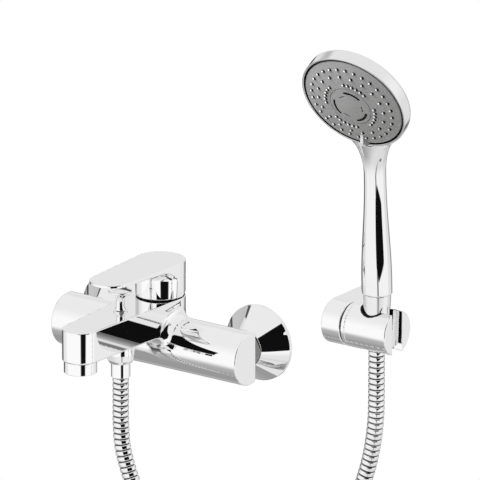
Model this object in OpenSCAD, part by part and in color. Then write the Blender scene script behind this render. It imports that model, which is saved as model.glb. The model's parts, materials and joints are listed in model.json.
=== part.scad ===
// Wall-mounted single-lever bath mixer with a hand shower in a tilting holder.
// Millimetres. The origin lies on the wall midway between the inlets, +Y into the wall, +Z up.

/* [Wall inlets] */
// Distance between the two inlet centres
inlet_spacing = 150; // [142:1:158]
// Outside radius of the thread that goes into the wall
wall_thread_r = 10.48; // [9:0.02:11.4]
// Length of the thread that goes into the wall
wall_thread_len = 18; // [10:1:25]
// Outside radius of the thread that takes the union nut
union_thread_r = 13.2; // [13:0.1:14]
// Radius of the water way through a union
union_bore_r = 7.5; // [5:0.1:8]
// Distance across the flats of a union nut
union_nut_flats = 30; // [29:0.5:34]
// Thickness of an inlet washer
inlet_washer_t = 1.6; // [1:0.1:2.4]
// Radius of a wall flange at its rim
flange_r = 32.5; // [28:0.5:40]
// Width of the straight band at a flange's rim
flange_rim = 3.5; // [2:0.5:6]
// Depth of a flange from the wall to its nose
flange_depth = 21.5; // [18:0.5:23]
// Radius of a flange's nose
flange_nose_r = 16; // [15.5:0.5:20]

/* [Mixer body] */
// Distance of the barrel's axis from the wall
barrel_out = 42.5; // [40:0.5:46]
// Radius of the barrel
barrel_r = 22.5; // [21:0.5:25]
// Distance of the barrel's flat back behind its axis
barrel_flat = 7.5; // [6:0.5:9]
// Length of the barrel
barrel_len = 190; // [186:1:220]
// Distance of the turret's axis from the wall
turret_out = 39; // [37:0.5:42]
// Radius of the turret and of the lever's cap
turret_r = 21.25; // [21:0.25:23]
// Height of the turret's top and of the spout's flat top
deck_z = 37.8; // [36:0.2:40]
// Reach of the flare where the turret meets the barrel
turret_flare = 8; // [4:0.5:10]

/* [Spout] */
// Distance of the spout's round end from the wall
spout_reach = 165.7; // [150:0.1:205]
// Radius of the spout's round end
spout_end_r = 15.2; // [15:0.2:18]
// Height of the spout
spout_h = 27.2; // [25:0.2:30]
// Radius of the water outlet's thread inside the spout
aerator_thread_r = 12.1; // [11:0.1:13]
// Outside radius of the aerator
aerator_r = 13.8; // [13.4:0.1:14.8]
// Height of the aerator below the spout
aerator_drop = 10.4; // [6:0.2:14]

/* [Lever and cartridge] */
// Height of the lever's cap from its gap to its top
cap_h = 30.2; // [29:0.2:34]
// Gap under the cap
cap_gap = 0.8; // [0.5:0.1:1.5]
// Wall of the cap
cap_wall = 2.6; // [2:0.1:3.4]
// Distance from the cap's axis to the centre of the lever's round tip
lever_reach = 69.6; // [60:0.5:90]
// Radius of the lever's round tip
lever_tip_r = 17.4; // [14:0.2:20]
// Thickness of the lever at its tip
lever_tip_t = 2.4; // [2:0.1:3.5]
// Greatest lift of the lever in degrees
lever_lift = 15; // [10:1:18]
// Radius of the cartridge
cartridge_r = 17.5; // [16.5:0.1:17.6]
// Radius of the bore that the stem carrier turns in
carrier_bore_r = 11.5; // [11.3:0.1:11.8]
// Width of the square stem
stem_w = 8; // [7:0.1:8.4]
// Radius of the stem's cross pin
stem_pin_r = 1.5; // [1.2:0.05:1.8]

/* [Diverter] */
// Distance of the diverter and hose outlet from the wall
diverter_out = 95; // [88:0.5:104]
// Radius of the diverter knob's top
knob_r = 10; // [8:0.2:11]
// Height of the knob above the spout
knob_h = 18.4; // [16:0.2:20]
// Radius of the diverter rod
rod_r = 2; // [1.6:0.1:2.4]
// Lift of the diverter
diverter_lift = 7.5; // [5:0.5:7.5]
// Radius of the diverter's chamber
chamber_r = 8.4; // [8:0.1:9]

/* [Hose] */
// Outside radius of the hose over its ribs
hose_r = 6.8; // [6:0.1:7]
// Radius of the hose's bore
hose_bore_r = 4.4; // [3.5:0.1:4.8]
// Depth of the grooves between the ribs
rib_depth = 0.7; // [0.4:0.1:0.9]
// Number of ribs along the whole hose
rib_count = 200; // [120:1:200]
// Outside radius of the hose sleeves
sleeve_r = 8; // [7.9:0.1:8.2]
// Outside radius of the outlet thread
outlet_thread_r = 10.48; // [10.3:0.02:10.6]
// Outside radius of the dome nut at the mixer
dome_nut_r = 11.8; // [11.6:0.1:13]

/* [Holder] */
// Distance of the hand shower's axis to the right of the mixer's middle
holder_x = 226; // [215:1:245]
// Height of the holder's pivot axis
holder_z = 53.5; // [50:0.5:58]
// Radius of the holder's barrel
holder_r = 18.7; // [18:0.1:20]
// Width of the wall bracket
bracket_w = 18.4; // [17:0.2:22]
// Length of the tilting part of the holder
swivel_len = 43.9; // [43:0.1:48]
// Radius of the pivot stud
pivot_r = 7.5; // [7:0.1:8.5]
// Width of the slot for the hose
slot_w = 14.4; // [14.2:0.1:16]
// Distance between the two wall screws
screw_spacing = 16; // [14:0.5:18]
// Radius of a wall screw
screw_r = 2; // [1.6:0.1:2.2]

/* [Hand shower] */
// Radius of the conical nut at its top
cone_r = 11.6; // [11.5:0.1:12.2]
// Radius of the conical nut at its lower end
cone_low_r = 9.9; // [9.6:0.1:10.2]
// Height of the hand shower from its lower end to the centre of its face
handset_h = 172.1; // [165:0.1:195]
// Turn of the hand shower in its holder in degrees
handset_turn = 3.35; // [-10:0.05:10]
// Forward lean of the handle in degrees
handle_lean = 2.3; // [0:0.1:4]
// Radius of the handle at its lower end
handle_r = 12.6; // [12.4:0.1:14]
// Radius of the handle at its waist
waist_r = 9.1; // [9:0.1:11]
// Radius of the spray head
head_r = 46.8; // [45:0.1:52]
// Thickness of the head's rim
head_rim_t = 12.3; // [11.5:0.1:15]
// Depth of the dome behind the rim
head_dome = 9; // [6:0.5:12]
// Width of the bright rim round the spray face
bezel_w = 1.5; // [1.2:0.1:2.5]
// Downward tilt of the spray face in degrees
face_tilt = 27.55; // [18:0.05:32]
// Height of the spray face's dome
face_dome = 6.6; // [4:0.1:8]
// Radius of the centre plate
centre_r = 18.6; // [17:0.1:19.5]
// Radius of the face's hub
hub_r = 5; // [4:0.1:6]

/* [Hidden] */
// Clearances
run_gap = 0.05;      // running fit, on the radius
thread_gap = 0.05;   // between the two threads of a screwed joint
free_gap = 0.3;      // between pieces that move past each other
seat_gap = 0.1;      // between pieces that only stand in a hole
eps = 0.01;          // overrun of a cut past a face

// Inlets
back_y = -(barrel_out - barrel_flat);
thread_relief = 0.9;
thread_run_out = 1.2;
tail_len = 5.4;
tail_lip = 1.7;
tail_r = 11.6;
union_end = -back_y - tail_len - inlet_washer_t;
nut_gap = 0.4;

// Mixer body
seal_t = 1;
seat_floor = 14;
seat_r = cartridge_r + seat_gap;
ring_thread_r = cartridge_r + 1.6;
ring_z = 31.2;
supply_r = 6;
port_r = 3.2;
spout_z = deck_z - spout_h;
spout_out = spout_reach - spout_end_r;
channel_w = 14;
channel_z = spout_z + 6.4;
channel_h = 12;
aerator_seat_z = spout_z + 11.4;
flare_low_z = 14;
flare_high_z = 31;

// Lever and cartridge
cap_z = deck_z + cap_gap;
cap_top = cap_z + cap_h;
pivot_z = deck_z + 6.2;
disc_z = 28;
disc_t = 3;
slider_r = 7.8;
slider_z = disc_z + disc_t + run_gap;
slider_top = 35.2;
carrier_z = slider_top + free_gap;
carrier_top = pivot_z + 2.6;
neck_r = carrier_bore_r + 2.1;
neck_top = carrier_top + 0.5;
stem_tip_z = 33.2;
stem_tip_r = 2.8;
stem_square_z = 38;
stem_top = cap_top - 8.8;
socket_wall = 4;
socket_z = pivot_z + 7;
grub_r = 2.48;
plug_r = 3.2;
plug_t = 1.6;
grub_z = stem_top - 4.5;
// Length of the stem below its pivot, which drives the moving disc
drive_arm = pivot_z - slider_top + 1.7;

// Diverter
bush_r = 4.4;
bush_flange_r = 6;
bush_flange_t = 1;
chamber_top = deck_z - 4.8;
piston_r = chamber_r - 1.9;
piston_t = 2.6;
piston_z = spout_z + 6.9;
ring_t = 1.2;
spring_wire_r = 0.5;
spring_turns = 4.5;
spring_r = rod_r + 1.4;
knob_screw_len = 8;

// Hose outlet on the spout
nipple_lip_t = 1.4;
nipple_len = 12.6;
nipple_bore_r = 5.4;
plug_len = 5.4;
nipple_end = spout_z - nipple_len;
washer_t = 1.6;
sleeve_flange_t = 1.2;
sleeve_flange_r = 10.1;
dome_floor = 1.7;
dome_end = nipple_end - washer_t - sleeve_flange_t - dome_floor;
sleeve_len = 14.2;
mixer_hose_z = nipple_end - washer_t - sleeve_len - 1.2;

// Holder
holder_out = 48;
hose_hole_x = 43;
bracket_x = holder_x - hose_hole_x;
bracket_end = bracket_x + bracket_w;
friction_t = 0.8;
friction_gap = 0.3;
swivel_x = bracket_end + friction_t + friction_gap;
swivel_end = swivel_x + swivel_len;
stud_len = 6.3;
web_t = 3.6;
pivot_screw_r = 2;
pivot_head_r = 4.4;
pivot_head_t = 2.2;
plate_t = 5;
plate_gap = 0.3;
shank_relief = 0.5;
// Length of the screws' plain shank that stands in the wall, before the thread
shank_out = 3.2;
plate_h = 28;
plate_margin = 3;
screw_len = 19;
screw_head_r = 3.7;
screw_head_t = 2.4;
clamp_r = 1.98;

// Hand shower
holder_top = holder_z + holder_r;
nut_show = 11.8;
handle_z = holder_top + nut_show;
cone_end = holder_z - holder_r + 2.2;
cone_straight_z = holder_top - 0.2;
thread_len = 13.8;
thread_end = handle_z - thread_len;
hose_end_z = cone_end - 1;
insert_r = 8;
insert_len = 20;
water_r = 4.8;
waist_h = 0.5694 * handset_h;
handle_top = waist_h + 14;
face_out = 38.5;
face_z = handle_z + handset_h;
// Patches of the neck: place in front of the nut's axis, drop below the face's centre, share of the spread
neck_places = [[4.4, 67.4, 0], [5.7, 54.4, 0.18], [8.7, 43.4, 0.5], [14.4, 30.4, 1]];
// Half width of the neck where it enters the head
neck_half_w = 31.4;
neck_deep = 5;
neck_flat = 1;
// A point on the middle plane of the hand shower, from its place up along the face and its depth behind it
function face_point(up, deep) = [0, deep * cos(face_tilt) - up * sin(face_tilt) - face_out,
    up * cos(face_tilt) + deep * sin(face_tilt) + face_z];
// Water way from the handle's bore, behind the rim and into the seat of the distributor
neck_way_r = 2.6;
neck_way = [[0, -4.3, handle_z + handle_top - 5], face_point(-45.5, 10.3), face_point(-34, 11)];
handle_band = 10;
feed_r = 3;
feed_ring_r = 20;
spread_deep = 1.6;
face_r = head_r - bezel_w - free_gap;
face_edge = -0.7;
function dome_at(r) = face_edge + face_dome * (1 - r * r / face_r / face_r);
centre_t = 1.4;
centre_z = dome_at(centre_r) - centre_t;
face_back = -5.2;
cavity_z = -6.6;
distributor_z = -10.5;
distributor_r = head_r - 6.8;
face_screw_r = 1.6;
face_screw_head_r = 7;
tab_w = 4;
tab_turn = 0;
nozzle_r = 1.1;
nozzle_h = 1.1;
// Nozzle rings as share of the face's radius, count, arc of a group, number of groups and first angle
nozzle_rows = [[0.813, 30, 360, 1, 0], [0.667, 18, 360, 1, 15], [0.502, 6, 50, 4, 66]];

// Route of the hose. The stretches that hang free are points chosen by hand, and the coil is a helix.
coil_r = 68;
coil_x = 113;
coil_z = -200;
coil_y = -90;
coil_pitch = 15;
coil_turns = 2.5;
// Length of the straight lead that sets the hose's direction at its two ends
lead = 20;
mixer_leg = [[0, -95, -40], [0, -95, -60], [2, -95, -82], [9, -94, -106], [20, -93, -130], [33, -92,
    -154], [42, -91, -177]];
handset_leg = [[182, -52, -178], [188, -51, -150], [199, -50, -120], [211, -49, -90], [220, -48, -60],
    [225, -48, -30], [226, -48, -5]];

$fn = 64;

chrome = "gainsboro";
brass = "goldenrod";
steel = "silver";
plastic = "whitesmoke";
grey = "gray";
rubber = "dimgray";

// Turns a shape's +Z to point out of the wall, at a given place on it
module out_of_wall(x, z = 0) {
    translate([x, 0, z]) rotate([90, 0, 0]) children();
}

module pipe(outer, inner, length) {
    difference() {
        cylinder(r = outer, h = length);
        translate([0, 0, -eps]) cylinder(r = inner, h = length + 2 * eps);
    }
}

// Plan of two circles on the Y axis with straight sides just inside their common tangents
module tongue_plan(y1, r1, y2, r2) {
    inset = 0.06;
    lean = (r1 - r2) / (y1 - y2);
    across = sqrt(1 - lean * lean);
    wide = r1 * across - inset;
    narrow = r2 * across - inset;
    translate([0, y1]) circle(r1);
    translate([0, y2]) circle(r2);
    polygon([[wide, y1 - r1 * lean], [narrow, y2 - r2 * lean], [-narrow, y2 - r2 * lean], [-wide,
        y1 - r1 * lean]]);
}

// Extrudes a YZ outline along X, from x = from
module along_x(from, length) {
    translate([from, 0, 0]) rotate([90, 0, 90]) linear_extrude(length) children();
}

module wall_union(x) {
    color(brass) difference() {
        union() {
            out_of_wall(x) cylinder(r = union_thread_r, h = union_end);
            translate([x, 0, 0]) rotate([-90, 0, 0]) {
                cylinder(r = wall_thread_r - thread_relief, h = wall_thread_len);
                translate([0, 0, thread_run_out]) cylinder(r = wall_thread_r,
                    h = wall_thread_len - thread_run_out);
            }
        }
        out_of_wall(x) translate([0, 0, -wall_thread_len - eps])
            cylinder(r = union_bore_r, h = wall_thread_len + union_end + 2 * eps);
    }
}

module wall_union_left() { wall_union(-inlet_spacing / 2); }
module wall_union_right() { wall_union(inlet_spacing / 2); }

module wall_flange(x) {
    bore = union_thread_r + free_gap;
    wall = 1.5;
    color(chrome) out_of_wall(x) rotate_extrude() polygon([[flange_r, 0], [flange_r, flange_rim],
        [flange_nose_r, flange_depth], [bore, flange_depth], [bore, flange_depth - 2 * wall],
        [flange_r - 2 * wall, flange_rim - wall], [flange_r - wall, 0]]);
}

module wall_flange_left() { wall_flange(-inlet_spacing / 2); }
module wall_flange_right() { wall_flange(inlet_spacing / 2); }

module union_nut(x) {
    from = flange_depth + nut_gap;
    length = -back_y - nut_gap - from;
    step = -back_y - tail_len + tail_lip + run_gap - from;
    color(brass) out_of_wall(x) translate([0, 0, from]) difference() {
        cylinder(r = union_nut_flats / 2 / cos(30), h = length, $fn = 6);
        translate([0, 0, -eps]) cylinder(r = union_thread_r + thread_gap, h = step + eps);
        cylinder(r = tail_r + seat_gap, h = length + eps);
    }
}

module union_nut_left() { union_nut(-inlet_spacing / 2); }
module union_nut_right() { union_nut(inlet_spacing / 2); }

module inlet_washers() {
    color(rubber) for (side = [-1, 1])
        out_of_wall(side * inlet_spacing / 2) translate([0, 0, union_end])
            pipe(union_thread_r - 0.3, union_bore_r, inlet_washer_t);
}

// Tail that a union nut is held on, with its lip
module inlet_tail(x) {
    out_of_wall(x) translate([0, 0, union_end + inlet_washer_t]) {
        cylinder(r = union_thread_r - 0.2, h = tail_lip);
        cylinder(r = tail_r, h = tail_len + 1);
    }
}

module barrel() {
    along_x(-barrel_len / 2, barrel_len) intersection() {
        translate([-barrel_out, 0]) circle(barrel_r);
        translate([back_y - 2 * barrel_r - barrel_flat, -barrel_r]) square([2 * barrel_r + barrel_flat,
            2 * barrel_r]);
    }
}

// The flare stays where the barrel lies under it
module turret() {
    keep = sqrt(barrel_r * barrel_r - flare_low_z * flare_low_z) - 1;
    translate([0, -turret_out, 0]) cylinder(r = turret_r, h = deck_z);
    intersection() {
        translate([0, -turret_out, flare_low_z])
            cylinder(r1 = turret_r + turret_flare, r2 = turret_r, h = flare_high_z - flare_low_z);
        translate([-turret_r - turret_flare, -barrel_out - keep, flare_low_z])
            cube([2 * (turret_r + turret_flare), keep + barrel_flat - 1, flare_high_z - flare_low_z]);
    }
}

module spout_outside() {
    translate([0, 0, spout_z]) linear_extrude(spout_h) tongue_plan(-turret_out, turret_r, -spout_out,
        spout_end_r);
}

module mixer_body() {
    color(chrome) difference() {
        union() {
            barrel();
            turret();
            spout_outside();
            for (side = [-1, 1]) inlet_tail(side * inlet_spacing / 2);
        }
        // Cartridge seat with the thread of its ring above
        translate([0, -turret_out, seat_floor]) cylinder(r = seat_r, h = deck_z);
        translate([0, -turret_out, ring_z - 1]) cylinder(r = ring_thread_r + thread_gap, h = deck_z);
        // Supplies from the two inlets
        for (side = [-1, 1]) {
            out_of_wall(side * inlet_spacing / 2) translate([0, 0, union_end])
                cylinder(r = union_bore_r, h = barrel_out + supply_r / 2 - union_end);
            along_x(side > 0 ? port_r + 1 : -inlet_spacing / 2, inlet_spacing / 2 - port_r - 1)
                translate([-barrel_out, 0]) circle(supply_r);
            translate([side * 8, -turret_out, 0]) cylinder(r = port_r, h = seat_floor + eps);
        }
        // Water way of the spout, diverter chamber, its bush and the aerator's seat
        translate([-channel_w / 2, -spout_out, channel_z])
            cube([channel_w, spout_out - turret_out - seat_r + 3, channel_h]);
        translate([0, -diverter_out, spout_z - eps]) cylinder(r = chamber_r, h = chamber_top - spout_z);
        translate([0, -diverter_out, spout_z]) cylinder(r = bush_r + thread_gap, h = spout_h + eps);
        translate([0, -spout_out, spout_z - eps]) cylinder(r = aerator_thread_r + thread_gap,
            h = aerator_seat_z - spout_z);
    }
}

module turret_axis() { translate([0, -turret_out, 0]) children(); }

module cartridge_seal() {
    color(rubber) turret_axis() translate([0, 0, seat_floor]) difference() {
        cylinder(r = cartridge_r - 2, h = seal_t);
        for (side = [-1, 1]) translate([side * 8, 0, -eps]) cylinder(r = port_r, h = seal_t + 2 * eps);
    }
}

module cartridge_housing() {
    floor_z = seat_floor + seal_t;
    color(plastic) turret_axis() difference() {
        union() {
            translate([0, 0, floor_z]) cylinder(r = cartridge_r, h = ring_z - floor_z);
            translate([0, 0, ring_z - 1]) cylinder(r = neck_r, h = neck_top - ring_z + 1);
        }
        translate([0, 0, disc_z]) cylinder(r = carrier_bore_r, h = neck_top);
        for (side = [-1, 1]) translate([side * 8, 0, floor_z - eps]) cylinder(r = port_r, h = disc_z);
        // Outlet through the wall towards the spout
        translate([-channel_w / 2 + 1, -cartridge_r - 1, channel_z + 1]) cube([channel_w - 2,
            cartridge_r - 4, 8]);
        translate([0, -8, channel_z + 2]) cylinder(r = port_r, h = disc_z);
    }
}

module fixed_disc() {
    color("lightgray") turret_axis() translate([0, 0, disc_z]) difference() {
        cylinder(r = carrier_bore_r - seat_gap, h = disc_t);
        for (spot = [[-6.5, 0], [6.5, 0], [0, -6.5]]) translate([spot[0], spot[1], -eps])
            cylinder(r = 2, h = disc_t + 2 * eps);
    }
}

module moving_disc() {
    color("lightgray") turret_axis() translate([0, 0, slider_z]) difference() {
        cylinder(r = slider_r, h = slider_top - slider_z);
        translate([0, 0, stem_tip_z - 1 - slider_z]) cylinder(r = stem_tip_r + 1.2, h = slider_top);
    }
}

module stem_carrier() {
    slot = 15.2;
    color(plastic) turret_axis() difference() {
        translate([0, 0, carrier_z]) cylinder(r = carrier_bore_r - run_gap, h = carrier_top - carrier_z);
        translate([-stem_w / 2 - free_gap, -slot / 2, 0]) cube([stem_w + 2 * free_gap, slot, cap_top]);
        translate([-carrier_bore_r, 0, pivot_z]) rotate([0, 90, 0]) cylinder(r = stem_pin_r + 0.02,
            h = 2 * carrier_bore_r);
    }
}

module stem_pin() {
    reach = carrier_bore_r - 0.6;
    color(steel) turret_axis() translate([-reach, 0, pivot_z]) rotate([0, 90, 0]) cylinder(r = stem_pin_r,
        h = 2 * reach);
}

module lever_stem() {
    color(brass) turret_axis() difference() {
        union() {
            translate([-stem_w / 2, -stem_w / 2, stem_square_z]) cube([stem_w, stem_w,
                stem_top - stem_square_z]);
            translate([0, 0, stem_tip_z]) cylinder(r = stem_tip_r, h = stem_square_z - stem_tip_z);
        }
        translate([-stem_w, 0, pivot_z]) rotate([0, 90, 0]) cylinder(r = stem_pin_r + run_gap,
            h = 2 * stem_w);
    }
}

module cartridge_ring() {
    color(brass) turret_axis() translate([0, 0, ring_z]) pipe(ring_thread_r, neck_r + seat_gap,
        deck_z - ring_z - 0.2);
}

// Lever in side view: flat on top, thin at the tip, with a hollow sweep into the cap
module lever_side() {
    sweep = 9;
    root_y = -turret_out - turret_r;
    under = cap_top - lever_tip_t - 1.4;
    tip_y = -turret_out - lever_reach - lever_tip_r - 1;
    polygon(concat([[tip_y, cap_top], [tip_y, cap_top - lever_tip_t], [root_y - sweep, under]],
        [for (a = [15 : 15 : 90]) [root_y - sweep + sweep * sin(a), under - sweep * (1 - cos(a))]],
        [[-turret_out, under - sweep], [-turret_out, cap_top]]));
}

module lever_cap() {
    socket = stem_w / 2 + socket_wall;
    cavity_top = cap_top - 5.5;
    color(chrome) difference() {
        union() {
            turret_axis() translate([0, 0, cap_z]) difference() {
                cylinder(r = turret_r, h = cap_h);
                translate([0, 0, -eps]) cylinder(r = turret_r - cap_wall, h = cavity_top - cap_z);
            }
            intersection() {
                translate([0, 0, cap_z]) linear_extrude(cap_h)
                    tongue_plan(-turret_out, turret_r, -turret_out - lever_reach, lever_tip_r);
                along_x(-2 * turret_r, 4 * turret_r) lever_side();
                difference() {
                    translate([-2 * turret_r, -turret_out - 2 * lever_reach, cap_z]) cube([4 * turret_r,
                        2 * lever_reach, cap_h]);
                    turret_axis() cylinder(r = turret_r - cap_wall, h = cavity_top);
                }
            }
            // Socket for the stem and the boss of its screw
            turret_axis() translate([-socket, -socket, socket_z]) cube([2 * socket, 2 * socket,
                cavity_top + 1 - socket_z]);
            turret_axis() translate([0, 0, grub_z]) rotate([-90, 0, 0]) cylinder(r = plug_r + 1.6,
                h = turret_r - cap_wall / 2);
        }
        turret_axis() translate([-stem_w / 2 - seat_gap, -stem_w / 2 - seat_gap, cap_z - 1])
            cube([stem_w + 2 * seat_gap, stem_w + 2 * seat_gap, stem_top - cap_z + 1]);
        turret_axis() translate([0, 0, grub_z]) rotate([-90, 0, 0]) cylinder(r = grub_r + thread_gap,
            h = 2 * turret_r);
        turret_axis() translate([0, turret_r - 2 * plug_t, grub_z]) rotate([-90, 0, 0])
            cylinder(r = plug_r + thread_gap, h = turret_r);
        // Relief at the back, where the cap goes down as the lever lifts
        translate([0, -turret_out, pivot_z]) rotate([lever_lift, 0, 0])
            translate([-2 * turret_r, -turret_r / 2, cap_z - pivot_z - 2 * turret_r]) cube([4 * turret_r,
                3 * turret_r, 2 * turret_r]);
    }
}

module lever_grub_screw() {
    color(steel) turret_axis() translate([0, stem_w / 2 + seat_gap, grub_z]) rotate([-90, 0, 0])
        cylinder(r = grub_r, h = turret_r - 2 * plug_t - stem_w / 2 - 0.3);
}

module lever_plug() {
    color("firebrick") turret_axis() translate([0, turret_r - 2 * plug_t, grub_z]) rotate([-90, 0, 0])
        cylinder(r = plug_r, h = plug_t);
}

module diverter_axis() { translate([0, -diverter_out, 0]) children(); }

module diverter_bush() {
    color(chrome) diverter_axis() difference() {
        union() {
            translate([0, 0, chamber_top]) cylinder(r = bush_r, h = deck_z - chamber_top);
            translate([0, 0, deck_z]) cylinder(r = bush_flange_r, h = bush_flange_t);
        }
        cylinder(r = rod_r + run_gap, h = deck_z + 2 * bush_flange_t);
    }
}

module diverter_rod() {
    color(steel) diverter_axis() translate([0, 0, piston_z]) cylinder(r = rod_r,
        h = deck_z + knob_h - 5 - piston_z);
}

// Trumpet-shaped knob: a slim neck that opens in a hollow curve to a flat top
module diverter_knob() {
    foot_z = deck_z + bush_flange_t + free_gap;
    top_z = deck_z + knob_h;
    neck = rod_r + 1;
    rim = 1.2;
    sweep = top_z - rim - foot_z - 4;
    color(chrome) diverter_axis() difference() {
        rotate_extrude() polygon(concat([[0, foot_z], [neck + 1.1, foot_z], [neck + 0.9, foot_z + 2],
            [neck, foot_z + 4]],
            [for (a = [15 : 15 : 90]) [neck + (knob_r - neck) * (1 - cos(a)), foot_z + 4 + sweep * sin(a)]],
            [[knob_r, top_z - rim / 2], [knob_r - rim / 2, top_z], [0, top_z]]));
        translate([0, 0, foot_z - eps]) cylinder(r = rod_r + thread_gap, h = top_z - 5 - foot_z + 2 * eps);
    }
}

module diverter_piston() {
    color(brass) diverter_axis() translate([0, 0, piston_z]) difference() {
        cylinder(r = piston_r, h = piston_t);
        translate([0, 0, -eps]) cylinder(r = rod_r + thread_gap, h = piston_t + 2 * eps);
        translate([0, 0, (piston_t - ring_t) / 2]) pipe(piston_r + 1, piston_r - ring_t, ring_t);
    }
}

module piston_ring() {
    color(rubber) diverter_axis() translate([0, 0, (piston_t - ring_t) / 2 + piston_z + 0.02])
        pipe(piston_r + 0.5, piston_r - ring_t + 0.02, ring_t - 0.04);
}

// Sweeps rings of points into one closed solid, with an inner wall if inner rings are given
function ring_at(p, t, r, sides) = let (a = t / norm(t), b = [0, 1, 0] - a * a[1], u = b / norm(b),
    v = cross(a, u))
    [for (k = [0 : sides - 1]) p + r * (cos(360 * k / sides) * u + sin(360 * k / sides) * v)];
function band_faces(from, n, m, out) = [for (i = [0 : n - 2], k = [0 : m - 1]) let (a = from + i * m + k,
    b = from + i * m + (k + 1) % m, c = a + m, d = b + m) each out ? [[a, b, d], [a, d, c]] : [[a, d, b],
        [a, c, d]]];
function annulus_faces(outer, inner, m, first) = [for (k = [0 : m - 1]) let (a = outer + k,
    b = outer + (k + 1) % m,
    c = inner + k, d = inner + (k + 1) % m) each first ? [[a, c, b], [b, c, d]] : [[a, b, c], [b, d, c]]];
function fan_faces(from, m, first) = [for (k = [1 : m - 2]) first ? [from, from + k + 1,
    from + k] : [from, from + k, from + k + 1]];

module tube_solid(outer, inner) {
    m = len(outer[0]);
    n = len(outer);
    start = n * m;
    polyhedron(points = [for (r = outer) each r, for (r = inner) each r],
        faces = concat(band_faces(0, n, m, false), band_faces(start, len(inner), m, true),
            annulus_faces(0, start, m, false), annulus_faces((n - 1) * m, start + (len(inner) - 1) * m, m,
                true)));
}

module rod_solid(rings) {
    m = len(rings[0]);
    n = len(rings);
    polyhedron(points = [for (r = rings) each r],
        faces = concat(band_faces(0, n, m, false), fan_faces(0, m, false), fan_faces((n - 1) * m, m,
            true)));
}

module diverter_spring() {
    low = piston_z + piston_t + spring_wire_r + 0.05;
    high = chamber_top - spring_wire_r - 0.05;
    steps = 8 * spring_turns;
    // The helix turns about Z, so its rings stand upright round its own tangent
    function at(i) = let (a = 360 * i * spring_turns / steps)
        [spring_r * cos(a), spring_r * sin(a), low + (high - low) * i / steps];
    function upright(i) = let (a = 360 * i * spring_turns / steps, p = at(i), u = [cos(a), sin(a), 0])
        [for (k = [0 : 5]) p + spring_wire_r * (cos(60 * k) * u + sin(60 * k) * [0, 0, 1])];
    color(steel) diverter_axis() rod_solid([for (i = [0 : steps]) upright(i)]);
}

module aerator_axis() { translate([0, -spout_out, 0]) children(); }

module aerator_housing() {
    low = spout_z - aerator_drop;
    color(chrome) aerator_axis() difference() {
        union() {
            translate([0, 0, low]) cylinder(r = aerator_r, h = aerator_drop - 0.1);
            translate([0, 0, low]) cylinder(r = aerator_thread_r, h = aerator_seat_z - low - 1.6);
        }
        translate([0, 0, low - eps]) cylinder(r = aerator_thread_r - 1.6, h = 2 * spout_h);
        translate([0, 0, low + 4]) cylinder(r = aerator_thread_r - 1, h = 2 * spout_h);
    }
}

module aerator_insert() {
    low = spout_z - aerator_drop + 4;
    color(grey) aerator_axis() translate([0, 0, low]) difference() {
        cylinder(r = aerator_thread_r - 1 - seat_gap, h = aerator_seat_z - 1.6 - low);
        for (a = [0 : 45 : 315]) rotate(a) translate([6.5, 0, -eps]) cylinder(r = 1.4, h = 2 * spout_h);
    }
}

module aerator_washer() {
    color(rubber) aerator_axis() translate([0, 0, aerator_seat_z - 1.6]) pipe(aerator_thread_r - 0.2, 7,
        1.5);
}

module outlet_nipple() {
    color(brass) diverter_axis() difference() {
        union() {
            translate([0, 0, nipple_end]) cylinder(r = outlet_thread_r, h = nipple_len);
            translate([0, 0, spout_z - eps]) cylinder(r = chamber_r - thread_gap, h = plug_len);
        }
        translate([0, 0, nipple_end - eps]) cylinder(r = nipple_bore_r, h = nipple_len + plug_len + 1);
    }
}

// Nut with a dome-shaped lower edge
module dome_nut() {
    top_z = spout_z - 0.4;
    round_r = dome_nut_r - sleeve_r - 0.6;
    color(chrome) diverter_axis() difference() {
        union() {
            translate([0, 0, dome_end + round_r]) cylinder(r = dome_nut_r, h = top_z - dome_end - round_r);
            rotate_extrude() polygon(concat([[0, dome_end]],
                [for (a = [0 : 15 : 90]) [dome_nut_r - round_r + round_r * sin(a),
                    dome_end + round_r - round_r * cos(a)]],
                [[0, dome_end + round_r]]));
        }
        translate([0, 0, dome_end + dome_floor - run_gap]) cylinder(r = outlet_thread_r + thread_gap,
            h = spout_h);
        translate([0, 0, dome_end - eps]) cylinder(r = sleeve_r + seat_gap, h = spout_h);
    }
}

module hose_washer_mixer() {
    color(rubber) diverter_axis() translate([0, 0, nipple_end - washer_t]) pipe(sleeve_flange_r,
        nipple_bore_r, washer_t);
}

module hose_sleeve_mixer() {
    flange_z = nipple_end - washer_t - sleeve_flange_t;
    color(chrome) diverter_axis() difference() {
        union() {
            translate([0, 0, flange_z]) cylinder(r = sleeve_flange_r, h = sleeve_flange_t);
            translate([0, 0, mixer_hose_z]) cylinder(r = sleeve_r, h = flange_z - mixer_hose_z + eps);
        }
        translate([0, 0, mixer_hose_z - eps]) cylinder(r = hose_bore_r, h = 3 * sleeve_len);
    }
}

// The hose's centre line: two hanging stretches as smooth curves through their points, and the helix between
function curve_point(a, b, c, d, t) = 0.5 * (2 * b + (c - a) * t + (2 * a - 5 * b + 4 * c - d) * t * t
    + (3 * b - 3 * c + d - a) * t * t * t);
function smooth(q, steps) = [for (i = [1 : len(q) - 3], k = [0 : steps - 1]) curve_point(q[i - 1], q[i],
    q[i + 1], q[i + 2], k / steps)];
function coil_at(turn) = [coil_x - coil_r * cos(360 * turn), coil_y + coil_pitch * turn,
    coil_z - coil_r * sin(360 * turn)];
coil_steps = 60;
coil_line = [for (i = [0 : coil_steps * coil_turns]) coil_at(i / coil_steps)];
mixer_exit = [0, -diverter_out, mixer_hose_z - free_gap];
handset_exit = [holder_x, -holder_out, hose_end_z - free_gap];
first_stretch = smooth(concat([mixer_exit + [0, 0, lead], mixer_exit], mixer_leg, [coil_line[0],
    coil_line[3]]), 6);
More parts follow.
